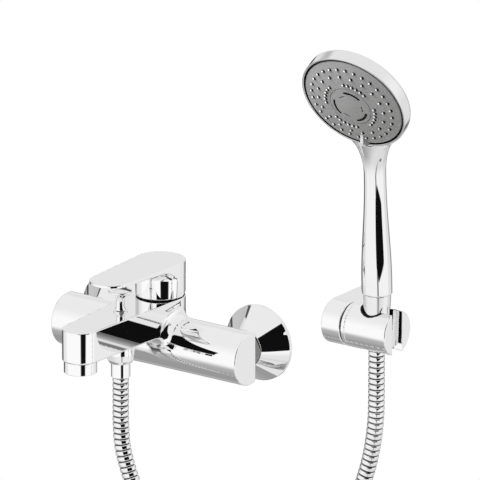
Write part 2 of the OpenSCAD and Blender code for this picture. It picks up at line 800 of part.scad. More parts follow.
last_stretch = smooth(concat([coil_line[len(coil_line) - 4], coil_line[len(coil_line) - 1]], handset_leg,
    [handset_exit, handset_exit + [0, 0, lead]]), 6);
centre_line = concat(first_stretch, coil_line, [for (i = [1 : len(last_stretch) - 1]) last_stretch[i]],
    [handset_exit]);
travelled = [for (i = 0, s = 0; i < len(centre_line);
    s = s + (i + 1 < len(centre_line) ? norm(centre_line[i + 1] - centre_line[i]) : 0), i = i + 1) s];
hose_length = travelled[len(travelled) - 1];
tables = [for (axis = [0 : 2]) [for (i = [0 : len(centre_line) - 1]) [travelled[i], centre_line[i][axis]]]];
function hose_at(s) = [for (axis = [0 : 2]) lookup(s, tables[axis])];
function hose_heading(s) = hose_at(min(s + 1, hose_length)) - hose_at(max(s - 1, 0));
rib_pitch = hose_length / rib_count;
coil_from = round(travelled[len(first_stretch)] / rib_pitch);
coil_to = round(travelled[len(first_stretch) + len(coil_line) - 1] / rib_pitch);
echo(hose_length = hose_length, rib_pitch = rib_pitch);

// Least gap between one turn and another, measured between points a half turn or more apart
gap_points = [for (i = [0 : 3 : len(centre_line) - 1]) [travelled[i], centre_line[i]]];
echo(least_gap = min([for (a = gap_points, b = gap_points) if (b[0] - a[0] > 150)
    norm(a[1] - b[1]) - 2 * hose_r]));

// One stretch of the ribbed hose, from rib a up to rib b
module hose_stretch(a, b) {
    function crest(s, r) = ring_at(hose_at(s), hose_heading(s), r, 8);
    groove_r = hose_r - rib_depth;
    outer = concat([crest(a * rib_pitch, groove_r)],
        [for (i = [a : b - 1]) each [crest((i + 0.3) * rib_pitch, hose_r), crest((i + 0.8) * rib_pitch,
            i == b - 1 ? hose_r : groove_r)]],
        [crest(b * rib_pitch, groove_r)]);
    inner = [for (i = [a : 2 : b - 2]) crest(i * rib_pitch, hose_bore_r), crest(b * rib_pitch,
        hose_bore_r)];
    color(chrome) tube_solid(outer, inner);
}

module hose_mixer_leg() { hose_stretch(0, coil_from); }
module hose_coil() { hose_stretch(coil_from, coil_to); }
module hose_handset_leg() { hose_stretch(coil_to, rib_count); }

// Strap round the lowest passes of the coil
module coil_tie() {
    strap_w = 14;
    strap_t = 1.6;
    room = hose_r + 0.7;
    first_y = coil_at(0.25)[1];
    last_y = coil_at(floor(coil_turns) + 0.25)[1];
    module outline(r) {
        for (y = [first_y, last_y]) translate([y, coil_z - coil_r]) circle(r);
        translate([first_y, coil_z - coil_r - r]) square([last_y - first_y, 2 * r]);
    }
    color("black") along_x(coil_x - strap_w / 2, strap_w) difference() {
        outline(room + strap_t);
        outline(room);
    }
}

module holder_axis(x) { translate([x, -holder_out, holder_z]) rotate([0, 90, 0]) children(); }

module holder_plate() {
    color(steel) difference() {
        translate([bracket_x + plate_margin, -plate_t, holder_z - plate_h / 2])
            cube([bracket_w - 2 * plate_margin, plate_t - plate_gap, plate_h]);
        for (side = [-1, 1]) out_of_wall(bracket_x + bracket_w / 2, holder_z + side * screw_spacing / 2)
            translate([0, 0, -eps]) cylinder(r = screw_r + seat_gap, h = plate_t + 2 * eps);
    }
}

module holder_wall_screws() {
    color(steel) for (side = [-1, 1]) out_of_wall(bracket_x + bracket_w / 2,
        holder_z + side * screw_spacing / 2) {
        translate([0, 0, plate_t]) cylinder(r = screw_head_r, h = screw_head_t);
        translate([0, 0, -shank_out - 1]) cylinder(r = screw_r - shank_relief, h = plate_t + shank_out + 2);
        translate([0, 0, plate_t - screw_len]) cylinder(r = screw_r, h = screw_len - plate_t - shank_out);
    }
}

module holder_bracket() {
    pocket = plate_t + screw_head_t + 1;
    color(chrome) difference() {
        union() {
            along_x(bracket_x, bracket_w) {
                translate([-holder_out, holder_z]) circle(holder_r);
                translate([-holder_out, holder_z - holder_r]) square([holder_out, 2 * holder_r]);
            }
            holder_axis(bracket_end - eps) cylinder(r = pivot_r, h = stud_len);
        }
        translate([bracket_x + plate_margin - seat_gap, -pocket, holder_z - plate_h / 2 - seat_gap])
            cube([bracket_w - 2 * plate_margin + 2 * seat_gap, pocket + eps, plate_h + 2 * seat_gap]);
        holder_axis(bracket_x + plate_margin) cylinder(r = pivot_screw_r + thread_gap,
            h = bracket_w + stud_len);
        translate([bracket_x + bracket_w / 2, -plate_t / 2, holder_z - holder_r - eps])
            cylinder(r = clamp_r + thread_gap, h = holder_r - plate_h / 2 + 2 * eps);
    }
}

module bracket_grub_screw() {
    color(steel) translate([bracket_x + bracket_w / 2, -plate_t / 2, holder_z - holder_r + 0.4])
        cylinder(r = clamp_r, h = holder_r - plate_h / 2 - 0.5);
}

module friction_washer() {
    color(rubber) holder_axis(bracket_end) pipe(holder_r - 4, pivot_r + seat_gap, friction_t);
}

module pivot_screw() {
    head_x = swivel_x + stud_len + web_t - friction_t;
    color(steel) {
        holder_axis(bracket_x + plate_margin + 4) cylinder(r = pivot_screw_r,
            h = head_x - bracket_x - plate_margin - 4 + eps);
        holder_axis(head_x) cylinder(r = pivot_head_r, h = pivot_head_t);
    }
}

module holder_swivel() {
    bottom_z = holder_z - holder_r;
    slope = (cone_r - cone_low_r) / (cone_straight_z - cone_end);
    head_x = swivel_x + stud_len + web_t - friction_t;
    color(chrome) difference() {
        holder_axis(swivel_x) cylinder(r = holder_r, h = swivel_len);
        // Narrow groove that sets off the ring next to the bracket
        holder_axis(swivel_x + 3.4) pipe(holder_r + 1, holder_r - 0.4, 0.5);
        // Socket for the stud, hole for the pivot screw and its head
        holder_axis(swivel_x - eps) cylinder(r = pivot_r + run_gap,
            h = bracket_end + stud_len - swivel_x + free_gap);
        holder_axis(swivel_x) cylinder(r = pivot_screw_r + free_gap, h = stud_len + web_t + 2);
        holder_axis(head_x - free_gap) cylinder(r = pivot_head_r + free_gap, h = holder_x - head_x);
        // Conical seat of the hose nut and the slot that the hose goes in by
        translate([holder_x, -holder_out, bottom_z - 1])
            cylinder(r1 = cone_low_r + free_gap - slope * (cone_end - bottom_z + 1),
                r2 = cone_r + free_gap + slope * (holder_top + 1 - cone_straight_z),
                h = 2 * holder_r + 2);
        translate([holder_x, -holder_out - slot_w / 2, bottom_z - 1]) cube([swivel_len, slot_w,
            2 * holder_r + 2]);
    }
}

module cone_axis() { translate([holder_x, -holder_out, 0]) children(); }

module hose_sleeve_handset() {
    flange_z = thread_end - washer_t - sleeve_flange_t;
    color(brass) cone_axis() difference() {
        union() {
            translate([0, 0, flange_z]) cylinder(r = sleeve_flange_r, h = sleeve_flange_t);
            translate([0, 0, hose_end_z]) cylinder(r = sleeve_r, h = flange_z - hose_end_z + eps);
        }
        translate([0, 0, hose_end_z - eps]) cylinder(r = hose_bore_r, h = 3 * holder_r);
    }
}

module cone_nut() {
    shoulder_z = thread_end - washer_t - sleeve_flange_t;
    color(chrome) cone_axis() difference() {
        union() {
            translate([0, 0, cone_straight_z]) cylinder(r = cone_r, h = handle_z - cone_straight_z - 0.1);
            translate([0, 0, cone_end]) cylinder(r1 = cone_low_r, r2 = cone_r,
                h = cone_straight_z - cone_end);
        }
        translate([0, 0, shoulder_z - run_gap]) cylinder(r = outlet_thread_r + thread_gap,
            h = 2 * holder_r);
        translate([0, 0, cone_end - eps]) cylinder(r = sleeve_r + run_gap, h = 2 * holder_r);
    }
}

module hose_washer_handset() {
    color(rubber) cone_axis() translate([0, 0, thread_end - washer_t]) pipe(sleeve_flange_r,
        nipple_bore_r, washer_t - 0.05);
}

module handset_insert() {
    color(plastic) handset_frame() difference() {
        union() {
            translate([0, 0, thread_end]) cylinder(r = outlet_thread_r, h = thread_len);
            handle_frame() translate([0, 0, -thread_len / 2]) cylinder(r = insert_r,
                h = insert_len + thread_len / 2);
        }
        translate([0, 0, thread_end - eps]) cylinder(r = nipple_bore_r, h = thread_len - 2);
        handle_frame() translate([0, 0, -3]) cylinder(r = water_r, h = insert_len + 4);
    }
}

// The hand shower's own frame, turned about the nut's axis
module handset_frame() { translate([holder_x, -holder_out, 0]) rotate([0, 0, handset_turn]) children(); }

// The handle's own axis, which leans forward from its lower end
module handle_frame() { translate([0, 0, handle_z]) rotate([handle_lean, 0, 0]) children(); }

// The face's own frame: its centre, with +Z out of the face and +Y up along it
module face_frame() { handset_frame() translate([0, -face_out, face_z]) rotate([90 + face_tilt, 0, 0])
    children(); }

module handle_profile() {
    swell = handle_r - waist_r;
    function bow(t) = waist_r + swell * (0.5 + 0.5 * cos(180 * t));
    polygon(concat([[0, -1], [handle_r - 0.9, -1], [handle_r, 2.5], [handle_r, handle_band]],
        [for (t = [0.1 : 0.1 : 1]) [bow(t), handle_band + (waist_h - handle_band) * t]],
        [[waist_r, handle_top], [0, handle_top]]));
}

// Round patches that carry the handle's waist over into the head's back
module neck_patch(i) {
    place = neck_places[i];
    spread = place[2];
    handset_frame() translate([0, -place[0], face_z - place[1]]) rotate([face_tilt * spread, 0, 0])
        scale([waist_r + (neck_half_w - waist_r) * spread, waist_r - neck_flat * spread,
            waist_r + neck_deep * spread])
            sphere(1, $fn = 32);
}

module handset_shell() {
    inner_r = head_r - bezel_w;
    color(chrome) difference() {
        union() {
            handset_frame() handle_frame() rotate_extrude() handle_profile();
            for (i = [0 : 2]) hull() {
                neck_patch(i);
                neck_patch(i + 1);
            }
            face_frame() rotate_extrude() polygon(concat([[0, -head_rim_t - head_dome]],
                [for (a = [15 : 15 : 75]) [(head_r - 2) * sin(a), -head_rim_t - head_dome * cos(a)]],
                [[head_r - 1, -head_rim_t], [head_r, -head_rim_t + 2], [head_r, -0.8], [head_r - 0.5, 0],
                    [0, 0]]));
        }
        face_frame() translate([0, 0, cavity_z]) cylinder(r = inner_r, h = head_r);
        // Keeps the neck clear of the tab that sweeps over the rim
        face_frame() translate([0, 0, free_gap / 2]) cylinder(r = head_r + 1, h = head_rim_t);
        face_frame() translate([0, 0, distributor_z]) cylinder(r = distributor_r + seat_gap,
            h = head_rim_t);
        // The lower end is cut level, to meet the nut
        handset_frame() translate([-handle_r - 1, -handle_r - 1, handle_z - 5]) cube([2 * handle_r + 2,
            2 * handle_r + 2, 5]);
        handset_frame() handle_frame() translate([0, 0, -2]) cylinder(r = insert_r + thread_gap,
            h = insert_len + 2);
        handset_frame() handle_frame() cylinder(r = water_r, h = handle_top + 2);
        // Water way from the handle into the head
        handset_frame() for (i = [0, 1]) hull() for (k = [i, i + 1]) translate(neck_way[k])
            sphere(neck_way_r, $fn = 20);
    }
}

module spray_distributor() {
    color(plastic) face_frame() difference() {
        union() {
            translate([0, 0, distributor_z + 0.05]) cylinder(r = distributor_r,
                h = cavity_z - distributor_z - 0.3);
            translate([0, 0, distributor_z + 0.05]) cylinder(r = hub_r, h = -2.65 - distributor_z);
        }
        translate([0, 0, distributor_z]) cylinder(r = face_screw_r + thread_gap, h = head_rim_t);
        // Ring that spreads the water from the neck to the feed holes
        translate([0, 0, distributor_z]) pipe(distributor_r - 2, hub_r + 6, spread_deep);
        for (a = [0 : 60 : 300]) rotate(a) translate([feed_ring_r, 0, distributor_z]) cylinder(r = feed_r,
            h = head_rim_t);
    }
}

module face_screw() {
    color(steel) face_frame() {
        translate([0, 0, -2.55]) cylinder(r = face_screw_head_r, h = 1.5);
        translate([0, 0, distributor_z + 0.6]) cylinder(r = face_screw_r, h = -2.5 - distributor_z - 0.6);
    }
}

// Places a child at each nozzle of the face, just below the dome's surface
module each_nozzle() {
    for (row = nozzle_rows, group = [0 : row[3] - 1], i = [0 : row[1] - 1]) {
        turn = row[4] + (row[3] == 1 ? 360 * i / row[1] : 90 * group + row[2] * (i / (row[1] - 1) - 0.5));
        out = row[0] * face_r;
        rotate(turn) translate([out, 0, dome_at(out) - 0.4]) children();
    }
}

// Section of the dome over a flat underside, from the axis out to a given radius
module dome_section(r, low) {
    steps = 8;
    polygon(concat([[0, low], [r, low]], [for (i = [steps : -1 : 0]) [r * i / steps,
        dome_at(r * i / steps)]]));
}

module spray_face() {
    overhang = head_r + 0.6;
    lip = face_r - 0.2;
    root = face_r - 12;
    peak = face_r - 4.5;
    crest = 5.7;
    color(grey) face_frame() {
        difference() {
            rotate_extrude() dome_section(face_r, face_back);
            translate([0, 0, face_back - eps]) cylinder(r = hub_r + run_gap, h = head_rim_t);
            translate([0, 0, -2.6]) cylinder(r = face_screw_head_r + free_gap, h = head_rim_t);
            translate([0, 0, centre_z]) cylinder(r = centre_r + seat_gap, h = head_rim_t);
        }
        each_nozzle() cylinder(r = nozzle_r, h = nozzle_h + 0.4, $fn = 16);
        // Thumb tab that stands over the rim at the bottom
        rotate([0, 0, tab_turn]) along_x(-tab_w / 2, tab_w) polygon([[-root, dome_at(root) - 0.5],
            [-lip, face_edge - 0.5], [-lip, free_gap], [-overhang, free_gap], [-overhang, 1],
                [-peak, crest]]);
    }
}

module nozzle_mat() {
    color(rubber) face_frame() translate([0, 0, face_back - 0.8]) pipe(distributor_r, hub_r + free_gap,
        0.8);
}

module spray_centre() {
    depth = 0.9;
    color(grey) face_frame() difference() {
        rotate_extrude() dome_section(centre_r, centre_z);
        // Three wide slots for the massage jets, and three narrow ones between them
        for (turn = [70, 190, 310]) rotate([0, 0, turn - 27.5]) translate([0, 0,
            dome_at(centre_r * 0.78) - depth])
            rotate_extrude(angle = 55) translate([centre_r * 0.745, 0]) square([1.3, 3]);
        for (turn = [118, 238, 358]) rotate([0, 0, turn - 14]) translate([0, 0,
            dome_at(centre_r * 0.6) - depth])
            rotate_extrude(angle = 28) translate([centre_r * 0.585, 0]) square([0.6, 3]);
    }
}

wall_union_left();
wall_union_right();
wall_flange_left();
wall_flange_right();
union_nut_left();
union_nut_right();
inlet_washers();
mixer_body();
cartridge_seal();
cartridge_housing();
fixed_disc();
moving_disc();
stem_carrier();
stem_pin();
lever_stem();
cartridge_ring();
lever_cap();
lever_grub_screw();
lever_plug();
diverter_bush();
diverter_rod();
diverter_knob();
diverter_piston();
piston_ring();
diverter_spring();
aerator_housing();
aerator_insert();
aerator_washer();
outlet_nipple();
dome_nut();
hose_washer_mixer();
hose_sleeve_mixer();
hose_mixer_leg();
hose_coil();
hose_handset_leg();
coil_tie();
holder_plate();
holder_wall_screws();
holder_bracket();
bracket_grub_screw();
friction_washer();
pivot_screw();
holder_swivel();
hose_sleeve_handset();
cone_nut();
hose_washer_handset();
handset_insert();
handset_shell();
spray_distributor();
face_screw();
spray_face();
nozzle_mat();
spray_centre();
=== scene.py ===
import json
import math

import bpy
import numpy as np
from mathutils import Matrix, Vector


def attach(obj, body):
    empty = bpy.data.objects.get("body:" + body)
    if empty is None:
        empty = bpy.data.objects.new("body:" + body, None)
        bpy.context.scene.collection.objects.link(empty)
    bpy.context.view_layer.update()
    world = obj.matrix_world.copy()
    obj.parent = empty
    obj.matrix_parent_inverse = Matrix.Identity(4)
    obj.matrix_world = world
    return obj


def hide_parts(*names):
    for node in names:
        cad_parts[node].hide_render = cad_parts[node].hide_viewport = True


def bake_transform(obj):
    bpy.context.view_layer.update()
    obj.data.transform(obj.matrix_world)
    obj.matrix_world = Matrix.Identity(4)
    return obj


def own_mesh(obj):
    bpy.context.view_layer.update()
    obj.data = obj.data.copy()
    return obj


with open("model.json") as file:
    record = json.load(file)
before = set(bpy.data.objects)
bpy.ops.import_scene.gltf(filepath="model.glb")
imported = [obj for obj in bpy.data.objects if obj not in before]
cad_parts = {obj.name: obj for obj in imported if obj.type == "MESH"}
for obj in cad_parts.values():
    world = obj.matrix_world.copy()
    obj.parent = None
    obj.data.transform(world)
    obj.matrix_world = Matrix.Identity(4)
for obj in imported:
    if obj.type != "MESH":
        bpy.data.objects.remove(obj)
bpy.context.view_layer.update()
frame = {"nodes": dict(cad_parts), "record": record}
scene = bpy.context.scene
scene.view_settings.view_transform = "Standard"

# Camera
# A long lens looks down on the mixer from its right front, as in the photograph. It stands far off, so that
# the lines of the barrel and the spout hardly run together.
azimuth, elevation = math.radians(35.686), math.radians(17.691)
to_front = Vector((math.sin(azimuth), -math.cos(azimuth), 0))
to_right = Vector((math.cos(azimuth), math.sin(azimuth), 0))
to_camera = Vector((math.sin(azimuth) * math.cos(elevation), -math.cos(azimuth) * math.cos(elevation),
                    math.sin(elevation)))
camera = bpy.data.objects.new("camera", bpy.data.cameras.new("camera"))
camera.data.sensor_width, camera.data.lens, camera.data.clip_end = 36, 600, 40
camera.matrix_world = Matrix.Translation((3.7565, -5.1554, 2.1097)) @ Matrix(
    (to_right, to_camera.cross(to_right), to_camera)).transposed().to_4x4()
scene.collection.objects.link(camera)
scene.camera = camera

# Studio
# A white room with a pale floor. Polished metal shows nothing but its surroundings, so the room has the dark
# screens and the shaded floor that a photographer sets round such a piece to draw its edges.


def add(tree, kind, inputs=(), **settings):
    """Adds a node with its settings. Each input is a socket with a value, a node or a node's output."""
    made = tree.nodes.new(kind)
    for name, value in settings.items():
        setattr(made, name, value)
    for socket, value in inputs:
        if isinstance(value, bpy.types.Node):
            value = value.outputs[0]
        if isinstance(value, bpy.types.NodeSocket):
            tree.links.new(value, made.inputs[socket])
        else:
            made.inputs[socket].default_value = value
    return made


def paint(code):
    """A colour written as an sRGB hex code, as the linear colour that a shader takes."""
    parts = [int(code[i:i + 2], 16) / 255 for i in (0, 2, 4)]
    return [c / 12.92 if c < 0.04045 else ((c + 0.055) / 1.055) ** 2.4 for c in parts] + [1]


def fade(tree, value, start, end, low=0.0, high=1.0):
    """A soft change from low to high as value goes from start to end."""
    return add(tree, "ShaderNodeMapRange", [(0, value), (1, start), (2, end), (3, low), (4, high)],
               interpolation_type="SMOOTHSTEP")


def overlap(tree, *shapes):
    """Several soft shapes multiplied, so that only what lies in all of them is left."""
    whole = shapes[0]
    for shape in shapes[1:]:
        whole = add(tree, "ShaderNodeMath", [(0, whole), (1, shape)], operation="MULTIPLY")
    return whole


def band(tree, value, start, end, soft):
    """One between start and end, and nothing outside, with soft edges."""
    return overlap(tree, fade(tree, value, start - soft, start + soft),
                   fade(tree, value, end - soft, end + soft, 1, 0))


def seen_in_mirror(tree, rays):
    """One for what is seen in a mirror or through glass."""
    return add(tree, "ShaderNodeMath", [(0, rays.outputs["Is Glossy Ray"]), (1, rays.outputs["Is Transmission Ray"])],
               operation="MAXIMUM")


def bare_finish(name):
    """A new material and its empty node tree."""
    made = bpy.data.materials.new(name)
    made.use_nodes = True
    made.node_tree.nodes.clear()
    return made, made.node_tree


room = bpy.data.worlds.new("room")
room.use_nodes = True
air = room.node_tree
air.nodes.clear()
looking = add(air, "ShaderNodeTexCoord").outputs["Generated"]
ahead, aside = [add(air, "ShaderNodeVectorMath", [(0, looking), (1, way)], operation="DOT_PRODUCT").outputs["Value"]
                for way in (to_front, to_right)]
upward = add(air, "ShaderNodeSeparateXYZ", [(0, looking)]).outputs["Z"]
# Places in the room are given in degrees: the turn to the right of the camera, and the height over the horizon
heading = add(air, "ShaderNodeMath", [(0, aside), (1, ahead)], operation="ARCTAN2")
rising = add(air, "ShaderNodeMath", [(0, upward)], operation="ARCSINE")
turn, height = [add(air, "ShaderNodeMath", [(0, angle)], operation="DEGREES") for angle in (heading, rising)]
aside_turn = add(air, "ShaderNodeMath", [(0, turn)], operation="ABSOLUTE")
# The walls are white and a little grey behind the piece. The floor shades off to grey, most of all on the left
ceiling = fade(air, height, 8, 50, 1.0, 0.86)
behind = overlap(air, fade(air, aside_turn, 85, 108, 0.0, 0.18), fade(air, height, 25, 45, 1, 0))
depth = overlap(air, fade(air, turn, -95, -25, 0.6, 0.2), fade(air, turn, -176, -150, 0.55, 1))
below = overlap(air, fade(air, height, -19, -38), depth)
unshaded = [add(air, "ShaderNodeMath", [(0, 1.0), (1, dim)], operation="SUBTRACT") for dim in (behind, below)]
walls = overlap(air, ceiling, *unshaded)
# A black screen stands behind the camera. Its lower edge is lowest a little to the right and rises to both sides
edge = -90.0
for slope, level in ((0.112, -22.392), (-0.17, -17.88), (-1.1, -17.9)):
    slant = add(air, "ShaderNodeMath", [(0, turn), (1, slope), (2, level)], operation="MULTIPLY_ADD")
    edge = add(air, "ShaderNodeMath", [(0, edge), (1, slant)], operation="MAXIMUM")
over_edge = add(air, "ShaderNodeMath", [(0, height), (1, edge)], operation="SUBTRACT")
left_side = add(air, "ShaderNodeMath", [(0, turn), (1, fade(air, height, 4, 14, 0.0, 9.0))], operation="ADD")
screen = overlap(air, fade(air, over_edge, -0.4, 0.4), fade(air, height, 40, 42, 1, 0),
                 fade(air, left_side, -8.7, -7.3), fade(air, turn, 59.3, 60.7, 1, 0))
drape = band(air, height, -21, -2, 2)
drape_end = overlap(air, fade(air, height, -46, -20), fade(air, height, -5, 1, 1, 0))
runner = add(air, "ShaderNodeMath", [(0, height), (1, 0.49), (2, turn)], operation="MULTIPLY_ADD")
dark = 0.0
for amount, *shapes in (
        (0.995, screen),
        # A dark drape hangs behind the piece and draws a thin line along its edges
        (0.93, band(air, turn, -152, -132, 4), drape),
        (0.6, band(air, turn, 136, 152, 4), drape),
        (0.9, fade(air, aside_turn, 144, 160), drape_end),
        # A grey runner lies on the floor below the screen, leads a little to the right, and ends on a dark mat
        (0.85, band(air, runner, -7.7, 2.3, 1.5), fade(air, height, -17, -19), fade(air, height, -56, -20)),
        (0.75, band(air, turn, 32, 60, 5), band(air, height, -52, -46, 2)),
        # A grey panel with two narrow dark banners stands at the back on the left
        (0.3, band(air, turn, -155, -115, 4), band(air, height, -8, 34, 5)),
        (0.9, band(air, turn, -123, -117, 1), band(air, height, 33, 44, 2)),
        (0.9, band(air, turn, -139, -133, 1), band(air, height, 19, 30, 2))):
    dark = add(air, "ShaderNodeMath", [(0, dark), (1, overlap(air, *shapes, amount))], operation="MAXIMUM")
mirrored = overlap(air, walls, add(air, "ShaderNodeMath", [(0, 1.0), (1, dark)], operation="SUBTRACT"))
rays = add(air, "ShaderNodeLightPath")
level = add(air, "ShaderNodeMix", [(0, seen_in_mirror(air, rays)), (2, 0.5), (3, mirrored)])
level = add(air, "ShaderNodeMix", [(0, rays.outputs["Is Camera Ray"]), (2, level), (3, 1.0)])
sky = add(air, "ShaderNodeBackground", [("Color", (1, 1, 1, 1)), ("Strength", level)])
add(air, "ShaderNodeOutputWorld", [("Surface", sky)])
scene.world = room

# Three soft lamps, which metal doesn't show
for name, place, width, power in (
        ("key_lamp", (-1.6, -1.7, 2.4), 1.6, 190), ("fill_lamp", (2.2, -1.4, 1.2), 1.2, 2),
        ("top_lamp", (0.1, -0.2, 2.4), 1.6, 18)):
    lamp = bpy.data.objects.new(name, bpy.data.lights.new(name, "AREA"))
    lamp.data.size, lamp.data.energy = width, power
    aim = Vector((0.1, -0.08, 0.08)) - Vector(place)
    lamp.matrix_world = Matrix.Translation(place) @ aim.to_track_quat("-Z", "Y").to_matrix().to_4x4()
    lamp.visible_glossy = False
    scene.collection.objects.link(lamp)

floor_sides, floor_z = 96, -0.6
floor_mesh = bpy.data.meshes.new("floor")
corners = [2 * math.pi * i / floor_sides for i in range(floor_sides)]
floor_mesh.from_pydata([(0.1 + math.cos(a), -0.1 + math.sin(a), floor_z) for a in corners], [], [range(floor_sides)])
floor = bpy.data.objects.new("floor", floor_mesh)
scene.collection.objects.link(floor)
floor.visible_glossy = False
# Matt white paint, which keeps the shadow and is otherwise white to the eye
pale, pale_tree = bare_finish("pale painted floor")
matt = add(pale_tree, "ShaderNodeBsdfDiffuse", [("Color", paint("f4f4f2"))])
glow = add(pale_tree, "ShaderNodeEmission", [("Color", (1, 1, 1, 1)), ("Strength", 1.0)])
rays = add(pale_tree, "ShaderNodeLightPath")
seen = add(pale_tree, "ShaderNodeMath", [(0, rays.outputs["Is Camera Ray"]), (1, seen_in_mirror(pale_tree, rays))],
           operation="MAXIMUM")
floor_mix = add(pale_tree, "ShaderNodeMixShader", [(0, overlap(pale_tree, seen, 0.8)), (1, matt), (2, glow)])
add(pale_tree, "ShaderNodeOutputMaterial", [("Surface", floor_mix)])
floor_mesh.materials.append(pale)

# Wall flanges
# Two bell-shaped cover plates, spun from thin brass and chrome-plated, slide over the wall unions and hide
# the holes in the tiles. They are pushed home against the wall.
MM = 0.001


def bright_plate(name, colour, smooth, wipe_mm=3.846):
    """Bright plating: nearly a mirror, with the faint haze that polishing and wiping leave on it. The wipe marks
    are drawn some millimetres wide, coarser than real ones, which would not show."""
    metal, tree = bare_finish(name)
    place = add(tree, "ShaderNodeTexCoord").outputs["Object"]
    haze = add(tree, "ShaderNodeTexNoise", [
        ("Vector", place), ("Scale", 1000 / wipe_mm), ("Detail", 4.0), ("Roughness", 0.6)])
    shader = add(tree, "ShaderNodeBsdfPrincipled", [
        ("Base Color", paint(colour)), ("Metallic", 1.0),
        ("Roughness", fade(tree, haze, 0.35, 0.75, smooth, smooth + 0.012))])
    add(tree, "ShaderNodeOutputMaterial", [("Surface", shader)])
    return metal


# Chrome plating over polished brass, a mirror that shows the room almost without haze
chrome = bright_plate("chrome plate on brass", "fafafa", 0.004)


def finished(name, points, faces, normals, finish):
    """A mesh in millimetres with its true normals, as an object in the scene."""
    mesh = bpy.data.meshes.new(name)
    mesh.from_pydata((np.asarray(points) * MM).tolist(), [], faces)
    mesh.polygons.foreach_set("use_smooth", [True] * len(mesh.polygons))
    mesh.normals_split_custom_set_from_vertices(np.asarray(normals).tolist())
    mesh.materials.append(finish)
    piece = bpy.data.objects.new(name, mesh)
    scene.collection.objects.link(piece)
    return piece


def eased(corners, reach, closed):
    """A profile of (radius, height) corners, each rounded: its points and their outward directions."""
    corners = [Vector(c) for c in corners]
    count, line = len(corners), []
    for i, corner in enumerate(corners):
        before = corners[i - 1] - corner if closed or i > 0 else None
        after = corners[(i + 1) % count] - corner if closed or i < count - 1 else None
        out = [Vector((-d.y, d.x)).normalized() if d else None for d in (before, after)]
        if before is None or after is None:
            line.append((corner, -out[1] if before is None else out[0]))
            continue
        first, second = out[0], -out[1]
        bend = first.angle_signed(second)
        trim = min(reach * abs(math.tan(bend / 2)), 0.45 * before.length, 0.45 * after.length)
        steps = max(2, int(abs(bend) / 0.28) + 1)
        start, stop = corner + before.normalized() * trim, corner + after.normalized() * trim
        for k in range(steps + 1):
            t = k / steps
            spot = start * (1 - t) ** 2 + corner * 2 * t * (1 - t) + stop * t * t
            way = first * (1 - t) + second * t
            line.append((spot, way.normalized()))
    return line


def turned(name, corners, place, finish, reach=0.6, closed=False, sides=128):
    """A piece turned on a lathe from its profile. The profile runs with its solid on its left."""
    line = eased(corners, reach, closed)
    points, normals, rings = [], [], []
    for spot, way in line:
        if spot.x < 1e-6:
            rings.append([len(points)] * sides)
            points.append((0, 0, spot.y))
            normals.append((0, 0, 1 if way.y > 0 else -1))
            continue
        rings.append(list(range(len(points), len(points) + sides)))
        for k in range(sides):
            c, s = math.cos(2 * math.pi * k / sides), math.sin(2 * math.pi * k / sides)
            points.append((spot.x * c, spot.x * s, spot.y))
            normals.append((way.x * c, way.x * s, way.y))
    faces = []
    for i in range(len(rings) if closed else len(rings) - 1):
        low, high = rings[i], rings[(i + 1) % len(rings)]
        for k in range(sides):
            n = (k + 1) % sides
            face = list(dict.fromkeys((low[k], low[n], high[n], high[k])))
            if len(face) > 2:
                faces.append(face)
    turn_only = place.to_3x3()
    return finished(name, [place @ Vector(p) for p in points], faces, [turn_only @ Vector(n) for n in normals],
                    finish)


inlet_x = 75
flange_profile = [(32.5, 0), (32.5, 3.5), (16, 21.5), (13.5, 21.5), (13.5, 19.8), (31, 2.6), (31, 0)]
for side, sign in (("left", -1), ("right", 1)):
    out_of_wall = Matrix.Translation((sign * inlet_x, 0, 0)) @ Matrix.Rotation(math.radians(90), 4, "X")
    flange = turned("flange_" + side, flange_profile, out_of_wall, chrome, 0.7, closed=True)
    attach(flange, "mixer")
    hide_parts("wall_flange_" + side)

# Union nuts
# Two hexagon nuts of plated brass draw the mixer's tails onto the wall unions, with a washer between. Their
# corners are turned down to a cone, as on any nut that takes a spanner.


